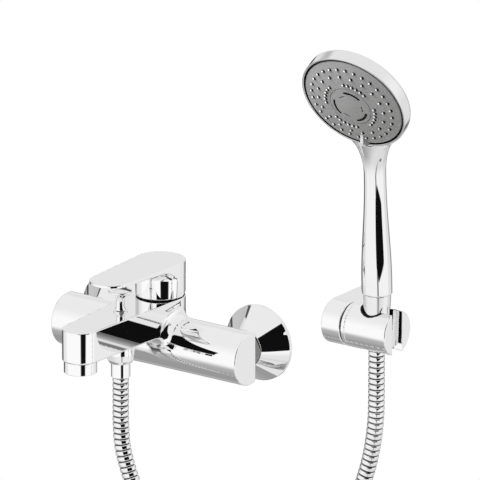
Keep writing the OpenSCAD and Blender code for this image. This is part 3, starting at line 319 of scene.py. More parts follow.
def skin(name, distance, low, high, cell, finish):
    """The surface where a distance in millimetres is zero, as a mesh with its true normals. The distance is
    read on a grid, each cell that it crosses gets a point, and the points are moved onto the surface."""
    axes = [np.arange(a - 1.5 * cell, b + 2.5 * cell, cell) for a, b in zip(low, high)]
    shape = [len(a) for a in axes]
    field = np.broadcast_to(
        distance(axes[0][:, None, None], axes[1][None, :, None], axes[2][None, None, :]), shape)
    inside = field < 0
    count = np.zeros([n - 1 for n in shape], np.uint8)
    for i in (0, 1):
        for j in (0, 1):
            for k in (0, 1):
                count += inside[i:shape[0] - 1 + i, j:shape[1] - 1 + j, k:shape[2] - 1 + k]
    crossed = (count > 0) & (count < 8)
    number = np.full(count.shape, -1, np.int64)
    number[crossed] = np.arange(crossed.sum())
    points = np.stack([axes[n][where] for n, where in enumerate(np.nonzero(crossed))], 1) + cell / 2

    def slope(p, reach):
        steps = np.eye(3) * reach
        return np.stack([distance(*(p + s).T) - distance(*(p - s).T) for s in steps], 1) / (2 * reach)

    for _ in range(6):
        way = slope(points, 0.02 * cell)
        move = distance(*points.T) / np.maximum((way ** 2).sum(1), 0.05)
        points = points - np.clip(move, -cell, cell)[:, None] * way
    normals = slope(points, 0.15 * cell)
    normals /= np.maximum(np.linalg.norm(normals, axis=1), 1e-9)[:, None]
    quads = []
    for axis in range(3):
        order = [axis, (axis + 1) % 3, (axis + 2) % 3]
        solid, cells = inside.transpose(order), number.transpose(order)
        a, b = solid[:-1, 1:-1, 1:-1], solid[1:, 1:-1, 1:-1]
        for here, flip in ((a & ~b, False), (b & ~a, True)):
            i, j, k = np.nonzero(here)
            quad = np.stack([cells[i, j, k], cells[i, j + 1, k], cells[i, j + 1, k + 1], cells[i, j, k + 1]], 1)
            quads.append(quad[:, ::-1] if flip else quad)
    return finished(name, points, np.concatenate(quads).tolist(), normals, finish)


def meet(a, b, round_off):
    """What lies in both of two shapes, with the edge between them rounded off."""
    over_a, over_b = np.maximum(a + round_off, 0), np.maximum(b + round_off, 0)
    return np.minimum(np.maximum(a, b), -round_off) + np.hypot(over_a, over_b)


def joined(a, b, fillet):
    """Two shapes joined with a fillet in the corner between them."""
    return np.maximum(np.minimum(a, b), fillet) - np.hypot(np.maximum(fillet - a, 0), np.maximum(fillet - b, 0))


def cut(solid, *holes):
    """A shape with holes taken out of it."""
    for hole in holes:
        solid = np.maximum(solid, -hole)
    return solid


# Nickel plating over brass, a little hazy, with its colour darkened to a soft grey as painted shade for the shade
# that the nut sits in behind the barrel
nickel_darkened_as_shade = bright_plate("nickel plate on brass, darkened as painted shade", "8c8c8a", 0.22)
nut_middle, nut_half, nut_flat, nut_corner_r, nut_bore_r = 28.25, 6.35, 15, 16.6, 13.3
for side, sign in (("left", -1), ("right", 1)):
    def union_nut(x, y, z):
        x = x - sign * inlet_x
        flats = np.maximum(np.abs(z), np.abs(0.8660254 * x) + 0.5 * np.abs(z)) - nut_flat
        ends = np.abs(y + nut_middle) - nut_half
        round_r = np.hypot(x, z)
        cone = round_r - nut_corner_r + 1.7 * np.maximum(ends + 1.1, 0)
        return cut(meet(meet(flats, cone, 0.5), ends, 0.5), round_r - nut_bore_r)

    nut = skin("union_nut_" + side + "_plated", union_nut, (sign * inlet_x - 18, -36, -16),
               (sign * inlet_x + 18, -20, 16), 0.5, nickel_darkened_as_shade)
    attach(nut, "mixer")
    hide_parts("union_nut_" + side)

# Mixer body
# One brass casting makes the barrel that carries the water across, the turret that takes the cartridge, and
# the flat-topped spout. It is ground, polished and chrome-plated, with a soft fillet where the forms join.
barrel_out, barrel_r, barrel_half, barrel_back = 42.5, 22.5, 95, 35
turret_out, turret_r, deck_z = 39, 21.25, 37.8
spout_out, spout_end_r, spout_low, body_fillet = 150.5, 15.2, 10.6, 9.5
flare_r, flare_end, tail_r, tail_start, tail_end, tail_bore_r, tail_bore_end = 13.0, 31.3, 11.6, 29.6, 40, 7.5, 42
seat_r, seat_z, seat_wide_r, seat_wide_z = 17.6, 14, 19.15, 30.2
valve_out, chamber_r, chamber_top, collar_way_r = 95, 8.4, 33, 4.45
aerator_way_r, aerator_way_top = 12.15, 22


def tapered(x, along, length, first_r, last_r):
    """Plan of a tongue: a circle at its start, a smaller one at its end, and their common tangents."""
    x = np.abs(x)
    slant = (first_r - last_r) / length
    level = math.sqrt(1 - slant * slant)
    reach = level * along - slant * x
    past_end = np.where(reach > level * length, np.hypot(x, along - length) - last_r,
                        level * x + slant * along - first_r)
    return np.where(reach < 0, np.hypot(x, along) - first_r, past_end)


def body_shape(x, y, z):
    section = meet(np.hypot(y + barrel_out, z) - barrel_r, y + barrel_back, 1.2)
    barrel = meet(section, np.abs(x) - barrel_half, 0.8)
    plan = tapered(x, -turret_out - y, spout_out - turret_out, turret_r, spout_end_r)
    turret = np.maximum(np.hypot(x, y + turret_out) - turret_r, -z)
    upper = joined(barrel, np.minimum(meet(plan, spout_low - z, 0.9), turret), body_fillet)
    solid = meet(upper, z - deck_z, 0.7)
    inlet_r = np.hypot(np.abs(x) - inlet_x, z)
    tail = np.where(y > -flare_end, inlet_r - flare_r, inlet_r - tail_r)
    solid = np.minimum(solid, np.maximum(tail, np.maximum(y + tail_start, -y - tail_end)))
    axis_r = np.hypot(x, y + turret_out)
    seat = np.maximum(np.where(z > seat_wide_z, axis_r - seat_wide_r, axis_r - seat_r), seat_z - z)
    solid = meet(solid, -seat, 0.3)
    valve_r = np.hypot(x, y + valve_out)
    chamber = np.minimum(np.maximum(valve_r - chamber_r, z - chamber_top), valve_r - collar_way_r)
    chamber = np.maximum(chamber, spout_low - 3 - z)
    outlet = np.maximum(np.hypot(x, y + spout_out) - aerator_way_r, z - aerator_way_top)
    tail_way = np.maximum(inlet_r - tail_bore_r, -y - tail_bore_end)
    return cut(solid, chamber, outlet, tail_way)


mixer = skin("polished_mixer_body", body_shape, (-96, -167, -24), (96, -16, 39), 0.8, chrome)
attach(mixer, "mixer")
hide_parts("mixer_body")

# Lever
# A cap that covers the cartridge, with a thin tapering plate that sweeps out of it over the spout. It is
# die-cast and chrome-plated, stands a little above the turret, and is clamped on the stem by a screw at its back.
cap_low, cap_top, lever_reach, lever_tip_r = 39.0, 68.8, 69.6, 17.4
pivot_z, lever_lift, lift_room = 44, math.radians(15), 5.4
edge_t, edge_gain, gain_length, sweep_r = 2.4, 1.4, 57.75, 9
hollow_r, hollow_top, boss_half, boss_low, stem_half, stem_top = 18.65, 63.3, 8, 51, 4.1, 60
screw_z, screw_r, plug_r, plug_start = 55.5, 2.5, 3.25, 16


def lever_shape(x, y, z):
    back = y + turret_out
    plan = tapered(x, -back, lever_reach, turret_r, lever_tip_r)
    tip = -turret_out - lever_reach - lever_tip_r
    under = cap_top - edge_t - edge_gain * (y - tip) / gain_length - z
    round_r = np.hypot(x, back)
    sweep = joined(round_r - turret_r, under, sweep_r)
    solid = meet(meet(plan, z - cap_top, 0.6), sweep, 0.35)
    relief = -lift_room + back * math.sin(lever_lift) - (z - pivot_z) * math.cos(lever_lift)
    solid = meet(solid, np.maximum(cap_low - z, relief), 0.4)
    square, screw_axis_r = np.maximum(np.abs(x), np.abs(back)), np.hypot(x, z - screw_z)
    boss = np.maximum(square - boss_half, boss_low - z)
    hollow = cut(np.maximum(round_r - hollow_r, z - hollow_top), boss)
    stem_hole = np.maximum(square - stem_half, z - stem_top)
    screw_way = np.maximum(screw_axis_r - screw_r, -back)
    plug_way = np.maximum(screw_axis_r - plug_r, plug_start - back)
    return cut(solid, hollow, stem_hole, screw_way, plug_way)


lever = skin("polished_lever", lever_shape, (-22, -127, 38), (22, -17, 69.5), 0.6, chrome)
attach(lever, "lever")
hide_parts("lever_cap")


def moulded(name, colour, second, rough, grain_mm, depth, gloss=0.5, drift_mm=22.22):
    """Moulded plastic: a spark-eroded texture, drawn coarser than the real one so that it shows, and a slight
    drift of colour where the melt cooled unevenly."""
    plastic, tree = bare_finish(name)
    place = add(tree, "ShaderNodeTexCoord").outputs["Object"]
    grain = add(tree, "ShaderNodeTexNoise", [
        ("Vector", place), ("Scale", 1000 / grain_mm), ("Detail", 3.0), ("Roughness", 0.6)])
    drift = add(tree, "ShaderNodeTexNoise", [("Vector", place), ("Scale", 1000 / drift_mm), ("Detail", 2.0)])
    tone = add(tree, "ShaderNodeMix", [(0, fade(tree, drift, 0.3, 0.7)), (6, paint(colour)), (7, paint(second))],
               data_type="RGBA")
    bump = add(tree, "ShaderNodeBump", [("Strength", 0.3), ("Distance", depth), ("Height", grain)])
    shader = add(tree, "ShaderNodeBsdfPrincipled", [
        ("Base Color", tone.outputs[2]), ("Roughness", fade(tree, grain, 0.3, 0.7, rough, rough + 0.1)),
        ("Specular IOR Level", gloss), ("Normal", bump)])
    add(tree, "ShaderNodeOutputMaterial", [("Surface", shader)])
    return plastic


# Black acetal, smooth and a little waxy, with hardly any shine. Its black is painted shade wherever it fills a gap, a
# slot or a hollow, as in the ring that the cap glides over
black_acetal_for_shade = moulded("black acetal for painted shade", "080808", "0c0c0c", 0.6, 0.833, 0.00004, 0.15)
# A glide ring, such as real mixers have, fills the gap under the cap so that it shows black, painted shade
glide_ring = turned("cap_glide_ring_in_shade_gap", [(20.6, 37.7), (20.6, 38.35), (18.9, 38.35), (18.9, 37.7)],
                    Matrix.Translation((0, -turret_out, 0)), black_acetal_for_shade, 0.15, closed=True)
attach(glide_ring, "mixer")

# Diverter knob
# A small trumpet of plated brass, turned with a slightly domed top, is screwed on the rod that lifts the
# diverter's piston. The rod comes out of the spout through a turned collar.
over_valve = Matrix.Translation((0, -valve_out, 0))
knob_profile = [(0, 39.1), (4.6, 39.1), (4.4, 40.2), (3.7, 41.6), (3.6, 47.2), (4.5, 50.3), (7.2, 53.2), (10, 54.8),
                (10, 56.2), (0, 56.6)]
knob = turned("diverter_trumpet", knob_profile, over_valve, chrome, 0.6)
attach(knob, "diverter")
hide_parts("diverter_knob")
collar_profile = [(2.1, 33.2), (4.4, 33.2), (4.4, 37.8), (6, 37.8), (6, 38.8), (2.1, 38.8)]
collar = turned("diverter_collar", collar_profile, over_valve, chrome, 0.3, closed=True)
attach(collar, "mixer")
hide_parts("diverter_bush")

# Aerator
# The ring at the spout's end, turned from brass and chrome-plated. It screws into the spout and holds the
# screen that mixes air into the water.
aerator_profile = [(10.5, 0.2), (13.8, 0.2), (13.8, 10.5), (12.1, 10.5), (12.1, 18), (11.2, 18), (11.2, 4), (10.5, 4)]
at_spout_end = Matrix.Translation((0, -spout_out, 0))
aerator = turned("aerator_ring", aerator_profile, at_spout_end, chrome, 0.5, closed=True)
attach(aerator, "mixer")
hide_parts("aerator_housing")

# Hose outlet
# A dome nut of plated brass clamps the hose's washer on the outlet below the spout. The hose comes out of it in
# a sleeve of plated brass that is crimped on.
dome_profile = [(8.4, -6.5), (9.4, -6.5), (11.2, -3.6), (11.8, 1.5), (11.8, 10.2), (10.55, 10.2), (10.55, -4.8),
                (8.4, -4.8)]
dome = turned("dome_nut_plated", dome_profile, over_valve, chrome, 1.6, closed=True)
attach(dome, "mixer")
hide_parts("dome_nut")
sleeve_profile = [(6.9, -19), (8, -19), (8, -4.8), (10.1, -4.8), (10.1, -3.6), (4.2, -3.6), (4.2, -16), (6.9, -16)]
sleeve = turned("crimp_sleeve_mixer", sleeve_profile, over_valve, chrome, 0.4, closed=True)
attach(sleeve, "mixer")
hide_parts("hose_sleeve_mixer")

# Hose
# A hose of interlocked bright metal strip, one and a half metres long. It hangs from the mixer, is wound into a
# coil held by a tie, and rises to the hand shower. It is made in two lengths, which meet in a groove.
hose_r, rib_pitch, groove_deep = 6.8, 4.9, 0.9
coil_x, coil_z, coil_r, coil_step = 113, -200, 68, 15
hand_x, hand_y = 226, -48
line_steps = 6


def through(q, steps):
    """Points on a smooth curve through q, which leads in and out with one point more at each end."""
    q = [np.array(p, float) for p in q]
    line = []
    for a, b, c, d in zip(q, q[1:], q[2:], q[3:]):
        for k in range(steps):
            t = k / steps
            second, third = 2 * a - 5 * b + 4 * c - d, 3 * b - 3 * c + d - a
            line.append(0.5 * (2 * b + (c - a) * t + second * t * t + third * t ** 3))
    return line


def coil_at(turns):
    angle = 2 * math.pi * turns
    return np.array([coil_x - coil_r * math.cos(angle), -90 + coil_step * turns, coil_z - coil_r * math.sin(angle)])


mixer_exit, handset_exit = np.array([0, -valve_out, -19.3]), np.array([hand_x, hand_y, 35.7])
lead = np.array([0, 0, 20])
mixer_leg = [[0, -95, -40], [0, -95, -60], [2, -95, -82], [9, -94, -106], [20, -93, -130], [33, -92, -154],
             [42, -91, -177]]
handset_leg = [[182, -52, -178], [188, -51, -150], [199, -50, -120], [211, -49, -90], [220, -48, -60],
               [225, -48, -30], [226, -48, -5]]
coil_line = [coil_at(i / 60) for i in range(151)]
down = through([mixer_exit + lead, mixer_exit] + mixer_leg + [coil_line[0], coil_line[3]], line_steps)
rise = through([coil_line[-4], coil_line[-1]] + handset_leg + [handset_exit, handset_exit + lead], line_steps)
hose_line = down + coil_line + rise[1:] + [handset_exit]
split = len(down) + len(coil_line) - 1 + 5 * line_steps


def node_tree(name, inputs, output):
    """A tree of Geometry Nodes with named inputs and one output: the tree and its inputs."""
    tree = bpy.data.node_groups.new(name, "GeometryNodeTree")
    for label, kind in inputs:
        tree.interface.new_socket(label, in_out="INPUT", socket_type="NodeSocket" + kind)
    tree.interface.new_socket(output, in_out="OUTPUT", socket_type="NodeSocketGeometry")
    return tree, add(tree, "NodeGroupInput").outputs


def dressed(tree, shape, finish):
    """The shape as real geometry in its finish."""
    real = add(tree, "GeometryNodeRealizeInstances", [("Geometry", shape)])
    return add(tree, "GeometryNodeSetMaterial", [("Geometry", real), ("Material", finish)])


def grown(name, source, tree, values):
    """The mesh that a node tree makes from source, as a plain piece."""
    modifier = source.modifiers.new("nodes", "NODES")
    modifier.node_group = tree
    for item in tree.interface.items_tree:
        if item.item_type == "SOCKET" and item.in_out == "INPUT" and item.name in values:
            modifier[item.identifier] = values[item.name]
    bpy.context.view_layer.update()
    made = bpy.data.meshes.new_from_object(source.evaluated_get(bpy.context.evaluated_depsgraph_get()))
    source.modifiers.remove(modifier)
    bpy.data.objects.remove(source)
    made.name = name
    piece = bpy.data.objects.new(name, made)
    scene.collection.objects.link(piece)
    return piece


ribs, given = node_tree("ribbed hose", (
    ("Line", "Geometry"), ("Radius", "Float"), ("Rib pitch", "Float"), ("Groove depth", "Float"),
    ("Finish", "Material"), ("Groove shade finish", "Material")), "Hose")
fine = add(ribs, "ShaderNodeMath", [(0, given["Rib pitch"]), (1, 10.0)], operation="DIVIDE")
resampled = add(ribs, "GeometryNodeResampleCurve", [("Curve", given["Line"]), ("Length", fine)], mode="LENGTH")
along = add(ribs, "GeometryNodeSplineParameter").outputs["Length"]
rib_count = add(ribs, "ShaderNodeMath", [(0, along), (1, given["Rib pitch"])], operation="DIVIDE")
phase = add(ribs, "ShaderNodeMath", [(0, rib_count)], operation="FRACT")
off_middle = add(ribs, "ShaderNodeMath", [(0, phase), (1, 0.5)], operation="SUBTRACT")
from_crest = add(ribs, "ShaderNodeMath", [(0, off_middle)], operation="ABSOLUTE")
groove = fade(ribs, from_crest, 0.33, 0.45)
crown = overlap(ribs, from_crest, from_crest, 0.25)
sunk = add(ribs, "ShaderNodeMath", [(0, groove), (1, crown)], operation="ADD")
groove_cut = overlap(ribs, sunk, given["Groove depth"])
reach = add(ribs, "ShaderNodeMath", [(0, given["Radius"]), (1, groove_cut)], operation="SUBTRACT")
kept = add(ribs, "GeometryNodeCaptureAttribute")
kept.capture_items.new("FLOAT", "From crest")
ribs.links.new(resampled.outputs[0], kept.inputs[0])
ribs.links.new(from_crest.outputs[0], kept.inputs[1])
ring = add(ribs, "GeometryNodeCurvePrimitiveCircle", [("Resolution", 26), ("Radius", 1.0)])
tube = add(ribs, "GeometryNodeCurveToMesh", [
    ("Curve", kept), ("Profile Curve", ring), ("Scale", reach), ("Fill Caps", True)])
smoothed = add(ribs, "GeometryNodeSetShadeSmooth", [("Geometry", tube)])
# Where the grooves lie, the strip takes the darker finish, painted shade
groove_shade_mask = add(ribs, "FunctionNodeCompare", [(0, kept.outputs[1]), (1, 0.4)], operation="GREATER_THAN")
lined = add(ribs, "GeometryNodeSetMaterial", [
    ("Geometry", dressed(ribs, smoothed, given["Finish"])), ("Selection", groove_shade_mask),
    ("Material", given["Groove shade finish"])])
add(ribs, "NodeGroupOutput", [("Hose", lined)])
# Interlocked strip of chrome-plated brass, bright on the ribs with a slight haze
hose_strip = bright_plate("chrome plate on wound strip", "f2f2f2", 0.02, 1.667)
# The same strip in the grooves, dull, and dark as painted shade in the grooves
groove_painted_shade = bright_plate("strip in the grooves, darkened as painted shade", "3a3a3a", 0.25, 1.667)


def hose_piece(name, points):
    points = [np.array(p) * MM for p in points]
    length = sum(float(np.linalg.norm(b - a)) for a, b in zip(points, points[1:]))
    line = bpy.data.curves.new(name, "CURVE")
    line.dimensions = "3D"
    spline = line.splines.new("POLY")
    spline.points.add(len(points) - 1)
    for point, p in zip(spline.points, points):
        point.co = (*p, 1)
    source = bpy.data.objects.new(name + "_line", line)
    scene.collection.objects.link(source)
    count = round(length / (rib_pitch * MM))
    piece = grown(name, source, ribs, {
        "Radius": hose_r * MM, "Rib pitch": length / count, "Groove depth": groove_deep * MM, "Finish": hose_strip,
        "Groove shade finish": groove_painted_shade})
    return piece, points, length


hose_low, low_path, low_length = hose_piece("hose_to_coil_and_up", hose_line[:split + 1])
hose_top, top_path, top_length = hose_piece("hose_to_hand_shower", hose_line[split:])
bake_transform(hose_low)
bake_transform(hose_top)
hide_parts("hose_mixer_leg", "hose_coil")
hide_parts("hose_handset_leg")

# Coil tie
# A strap of soft black plastic, moulded in one piece with its clasp. It is closed on itself and holds the turns
# of the spare hose together.
# Moulded polyethylene, black and half dull, with a soft grain a millimetre wide
tie_grain_mm = 1.111
tie_finish, tie_tree = bare_finish("black polyethylene strap")
tie_place = add(tie_tree, "ShaderNodeTexCoord").outputs["Object"]
tie_grain = add(tie_tree, "ShaderNodeTexNoise", [
    ("Vector", tie_place), ("Scale", 1000 / tie_grain_mm), ("Detail", 3.0)])
tie_bump = add(tie_tree, "ShaderNodeBump", [("Strength", 0.25), ("Distance", 0.0002), ("Height", tie_grain)])
tie_shader = add(tie_tree, "ShaderNodeBsdfPrincipled", [
    ("Base Color", paint("1f1f20")), ("Roughness", fade(tie_tree, tie_grain, 0.3, 0.7, 0.4, 0.55)),
    ("Normal", tie_bump)])
add(tie_tree, "ShaderNodeOutputMaterial", [("Surface", tie_shader)])
tie_y, tie_z, strap_r, strap_t, strap_half, clasp_z = 71.25, 268, 8.3, 1.6, 7, 277


def tie_shape(x, y, z):
    loop = np.hypot(np.maximum(np.abs(y + tie_y) - coil_step, 0), z + tie_z) - strap_r
    strap = meet(np.abs(loop) - strap_t / 2, np.abs(x - coil_x) - strap_half, 0.35)
    clasp = meet(meet(np.abs(y + tie_y) - 4, np.abs(x - coil_x) - 4.5, 0.6), np.abs(z + clasp_z) - 1.6, 0.5)
    return np.minimum(strap, clasp)


tie = skin("coil_strap", tie_shape, (105, -96, -279), (121, -46, -258), 0.6, tie_finish)
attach(tie, "mixer")
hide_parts("coil_tie")

# Wall bracket
# A short block of plated brass, hollowed at its back, is clamped on a plate that is screwed to the wall beside
# the mixer. It carries the holder on a stud.
holder_y, holder_z, holder_r = -48, 53.5, 18.7
bracket_x, bracket_half, stud_x, stud_half, stud_r = 192.2, 9.2, 204, 3.7, 7.5
plate_half_w, plate_half_h, plate_deep = 6.25, 14.05, 5.05
head_way_r, head_way_up, head_way_deep, clamp_r, clamp_deep, pivot_hole_r = 4.1, 8, 10, 2.03, 2.5, 2.05


def bracket_shape(x, y, z):
    round_r = np.hypot(y - holder_y, z - holder_z)
    section = np.where(y < holder_y, round_r, np.abs(z - holder_z)) - holder_r
    section = meet(section, y, 0.4)
    across, up = np.abs(x - bracket_x), np.abs(z - holder_z)
    block = meet(section, across - bracket_half, 0.9)
    stud = meet(round_r - stud_r, np.abs(x - stud_x) - stud_half, 0.4)
    plate = np.maximum(np.maximum(across - plate_half_w, up - plate_half_h), -plate_deep - y)
    screws = np.maximum(np.hypot(x - bracket_x, up - head_way_up) - head_way_r, -head_way_deep - y)
    clamp = np.maximum(np.hypot(x - bracket_x, y + clamp_deep) - clamp_r, z - holder_z)
    pivot_hole = np.maximum(round_r - pivot_hole_r, 190 - x)
    return cut(np.minimum(block, stud), plate, screws, clamp, pivot_hole)


bracket = skin("plated_wall_bracket", bracket_shape, (182, -68, 34), (209, 1, 73), 0.6, chrome)
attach(bracket, "mixer")
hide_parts("holder_bracket")

# Holder
# The tilting part of the holder, a plated cylinder with a conical hole for the hose nut and a slot through
# which the hose goes in from the side. A turned line runs round it by the bracket. A black lining in the hole and the
# slot is painted shade on their walls.
swivel_middle, swivel_half, shade_lining_t, shade_lining_set_in = 224.45, 21.95, 1.5, 0.3
cone_r, cone_z, cone_slope, slot_half = 10.2, 37, 0.0486, 7.2
line_x, line_half, line_r, pivot_r, pivot_end, pivot_head_r, pivot_head_end = 206.15, 0.3, 18.3, 7.55, 208.2, 4.7, 216


def hose_way(x, y, z, wider):
    """The conical hole, wider by that much all round, and the slot that leads into it."""
    cone = np.hypot(x - hand_x, y - holder_y) - (cone_r + cone_slope * (z - cone_z)) - wider
    return np.minimum(cone, np.maximum(np.abs(y - holder_y) - slot_half, hand_x - x))


def hole_shade_lining_shape(x, y, z):
    round_r = np.hypot(y - holder_y, z - holder_z)
    wall = cut(hose_way(x, y, z, shade_lining_t), hose_way(x, y, z, 0))
    ends = np.abs(x - swivel_middle) - swivel_half + shade_lining_set_in
    return np.maximum(wall, np.maximum(round_r - holder_r + shade_lining_set_in, ends))


def holder_shape(x, y, z):
    round_r = np.hypot(y - holder_y, z - holder_z)
    solid = meet(round_r - holder_r, np.abs(x - swivel_middle) - swivel_half, 0.8)
    line = np.maximum(line_r - round_r, np.abs(x - line_x) - line_half)
    solid = meet(cut(solid, line), -hose_way(x, y, z, shade_lining_t + 0.02), 0.3)
    pivot = np.maximum(round_r - pivot_r, x - pivot_end)
    pivot_head = np.maximum(round_r - pivot_head_r, x - pivot_head_end)
    return cut(solid, pivot, pivot_head)


holder = skin("plated_tilting_holder", holder_shape, (202, -68, 34), (247, -29, 73), 0.6, chrome)
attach(holder, "holder")
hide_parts("holder_swivel")
# The black lining is painted shade on the walls of the hole and the slot
bush = skin("holder_hole_shade_lining", hole_shade_lining_shape, (213, -68, 34), (247, -29, 73), 0.5, black_acetal_for_shade)
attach(bush, "holder")

# Conical nut
# The nut of turned brass that screws the hose to the hand shower, and rests in the holder's hole by its cone.
# The hose's sleeve, crimped on like the one at the mixer, turns in it.
in_hand = Matrix.Translation((hand_x, hand_y, 0))
# Chrome plating over brass that was turned and not polished, so that what it mirrors is blurred
chrome_satin = bright_plate("satin chrome plate on brass", "f0f0f0", 0.17)
cone_profile = [(8.3, 37), (9.7, 37), (11.1, 72), (11.6, 83.9), (10.55, 83.9), (10.55, 68), (8.3, 68)]
cone_nut = turned("conical_hose_nut", cone_profile, in_hand, chrome_satin, 0.5, closed=True)
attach(cone_nut, "handset")
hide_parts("cone_nut")
sleeve_profile = [(6.9, 36), (8, 36), (8, 66), (10.1, 66), (10.1, 67.4), (4.2, 67.4), (4.2, 39), (6.9, 39)]
handset_sleeve = turned("crimp_sleeve_handset", sleeve_profile, in_hand, chrome, 0.4, closed=True)
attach(handset_sleeve, "hose_end")
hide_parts("hose_sleeve_handset")

# Hand shower
# The shell of the hand shower is moulded in plastic in one piece and chrome-plated: a handle that swells
# towards the nut, a neck that spreads into the back of the head, and a straight rim round the spray face.
# Chrome plating over moulded plastic, a mirror that is a little less even than on brass
chrome_plastic = bright_plate("chrome plate on moulded plastic", "f2f2f2", 0.008)
handset_turn, handle_lean, face_tilt = math.radians(3.35), math.radians(2.3), math.radians(27.55)
head_r, inner_r, handle_z, neck_z = 46.8, 45.3, 84, 186
face_out, face_z, rim_deep, head_deep, head_dome = 38.5, 256.1, 9.5, 12.0, 9.3
grip_r, grip_swell, neck_long, neck_spread, spread_most = 9.1, 3.5, 45, 23, 15.5
cavity_deep, feed_r, feed_deep, socket_r, socket_deep, bore_r, bore_long = 6.6, 40.1, 10.5, 8.05, 20, 4.8, 112
face_place = (in_hand @ Matrix.Rotation(handset_turn, 4, "Z") @ Matrix.Translation((0, -face_out, face_z))
              @ Matrix.Rotation(math.pi / 2 + face_tilt, 4, "X"))


def eased_step(value, start, length):
    t = np.clip((value - start) / length, 0, 1)
    return t * t * (3 - 2 * t)


def shell_shape(x, y, z):
    c, s = math.cos(handset_turn), math.sin(handset_turn)
    across, out = (x - hand_x) * c + (y - hand_y) * s, -(x - hand_x) * s + (y - hand_y) * c
    up = (z - handle_z) * math.cos(handle_lean) - out * math.sin(handle_lean)
    ahead = out * math.cos(handle_lean) + (z - handle_z) * math.sin(handle_lean)
    bow = 0.5 + 0.5 * np.cos(math.pi * np.clip((up - 10) / 88, 0, 1))
    handle_r = np.hypot(across, ahead)
    handle = handle_r - (grip_r + grip_swell * bow)
    t = np.clip((z - neck_z) / neck_long, 0, 1)
    neck_y = -4.2 - 0.04 * (z - neck_z) - 11.5 * t ** 2.3
    spread = neck_spread * t ** 2.3
    half_w = grip_r + 0.5 * (spread + spread_most - np.hypot(spread - spread_most, 2))
    half_d = grip_r - 1.0 * t * t
    neck = (np.sqrt((across / half_w) ** 2 + ((out - neck_y) / half_d) ** 2 + 1e-9) - 1) * half_d
    grip = np.maximum(np.where(z < neck_z, handle, neck), z - 235)
    low = (out + face_out) * -math.sin(face_tilt) + (z - face_z) * math.cos(face_tilt)
    front = (out + face_out) * -math.cos(face_tilt) - (z - face_z) * math.sin(face_tilt)
    disc_r = np.hypot(across, low)
    back = -front - head_deep - head_dome * (1 - (disc_r / head_r) ** 2)
    head = np.maximum(meet(disc_r - head_r + 0.04, back, 2.2), front + rim_deep - 2)
    fillet = 7 - 6.7 * eased_step(z, 214, 17) * eased_step(-front, 9.5, 5)
    solid = np.maximum(joined(head, grip, fillet), -np.maximum(-front, disc_r - head_r - 0.3))
    solid = meet(solid, handle_z - z, 1.0)
    cavity = np.maximum(disc_r - inner_r, -cavity_deep - front)
    feed = np.maximum(disc_r - feed_r, -feed_deep - front)
    socket = np.maximum(handle_r - socket_r, up - socket_deep)
    bore = np.maximum(handle_r - bore_r, up - bore_long)
    return cut(meet(solid, -cavity, 0.3), feed, socket, bore)


rim_profile = [(head_r, -rim_deep), (head_r, 0), (inner_r, 0), (inner_r, -cavity_deep), (46.2, -rim_deep)]
head_rim = turned("hand_shower_rim", rim_profile, face_place, chrome_plastic, 0.5, closed=True, sides=192)
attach(head_rim, "handset")
shell = skin("hand_shower_shell", shell_shape, (177, -106, 83), (278, -30, 306), 0.8, chrome_plastic)
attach(shell, "handset")
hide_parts("handset_shell")

# Spray face
# A domed disc of grey plastic with a fine moulded texture turns in the rim to choose the spray. A small fin on
# its edge is the finger tab, and the light band along its crest is a painted highlight where the light falls on it.
# Grey plastic with a fine eroded texture, which takes the shine off it
face_grey = moulded("grey moulded plastic", "959595", "8e8e8e", 0.42, 0.3846, 0.00008)
centre_r = 18.7


def dome_at(r):
    return -0.7 + 6.6 * (1 - r * r / (45 * 45))


dome_radii = (43.6, 42.8, 41, 39, 36, 32, 28, 24, 21, centre_r)
face_profile = [(centre_r, -5.2), (43.6, -5.2)] + [(r, dome_at(r)) for r in dome_radii]
face = turned("spray_face_disc", face_profile, face_place, face_grey, 0.4, closed=True)
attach(face, "spray")
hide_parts("spray_face")


def on_face(x, y, z):
    """Points of the frame, read in the face's own place: across, up along the face, and out of it."""
    back = np.array(face_place.inverted())
    return [back[i][0] * x + back[i][1] * y + back[i][2] * z + back[i][3] for i in range(3)]


def tab_rise(up):
    """Height of the tab's crest and of its sloping end over the face's plane."""
    return 2.2 + 0.486 * (-up - 33), 5.6 - 0.726 * (-up - 40)


def tab_shape(x, y, z):
    across, up, out = on_face(x, y, z)
    r = np.hypot(across, up)
    crest, end = tab_rise(up)
    peak = np.minimum(crest, end)
    ridge = np.abs(across) - 1.45 - 1.35 * np.clip((peak - out) / np.maximum(peak + 0.5, 0.8), 0, 1.2)
    fin = meet(meet(ridge, 0.9 * (out - crest), 0.25), 0.81 * (out - end), 0.4)
    return np.maximum(fin, np.where(r < 44.8, dome_at(r) - 1.5 - out, 0.35 - out))


# The light band on the tab's crest, a painted highlight
def crest_highlight_shape(x, y, z):
    across, up, out = on_face(x, y, z)
    crest, end = tab_rise(up)
    slab = meet(np.abs(across) - 1.4, 0.9 * np.abs(out - crest + 0.4) - 0.5, 0.15)
    return np.maximum(slab, np.maximum(up + 33.2, 0.81 * (out - end - 0.1)))


tab = skin("spray_tab", tab_shape, (220, -84, 205), (236, -55, 236), 0.4, face_grey)
# Light grey plastic on the tab's crest, smoother than the face: a painted highlight
crest_highlight_grey = moulded("light grey plastic as painted highlight", "d6d6d6", "cecece", 0.35, 0.3846, 0.00004)
stripe = skin("spray_tab_crest_highlight", crest_highlight_shape, (222, -84, 210), (234, -60, 236), 0.3, crest_highlight_grey)
for piece in (tab, stripe):
    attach(piece, "spray")

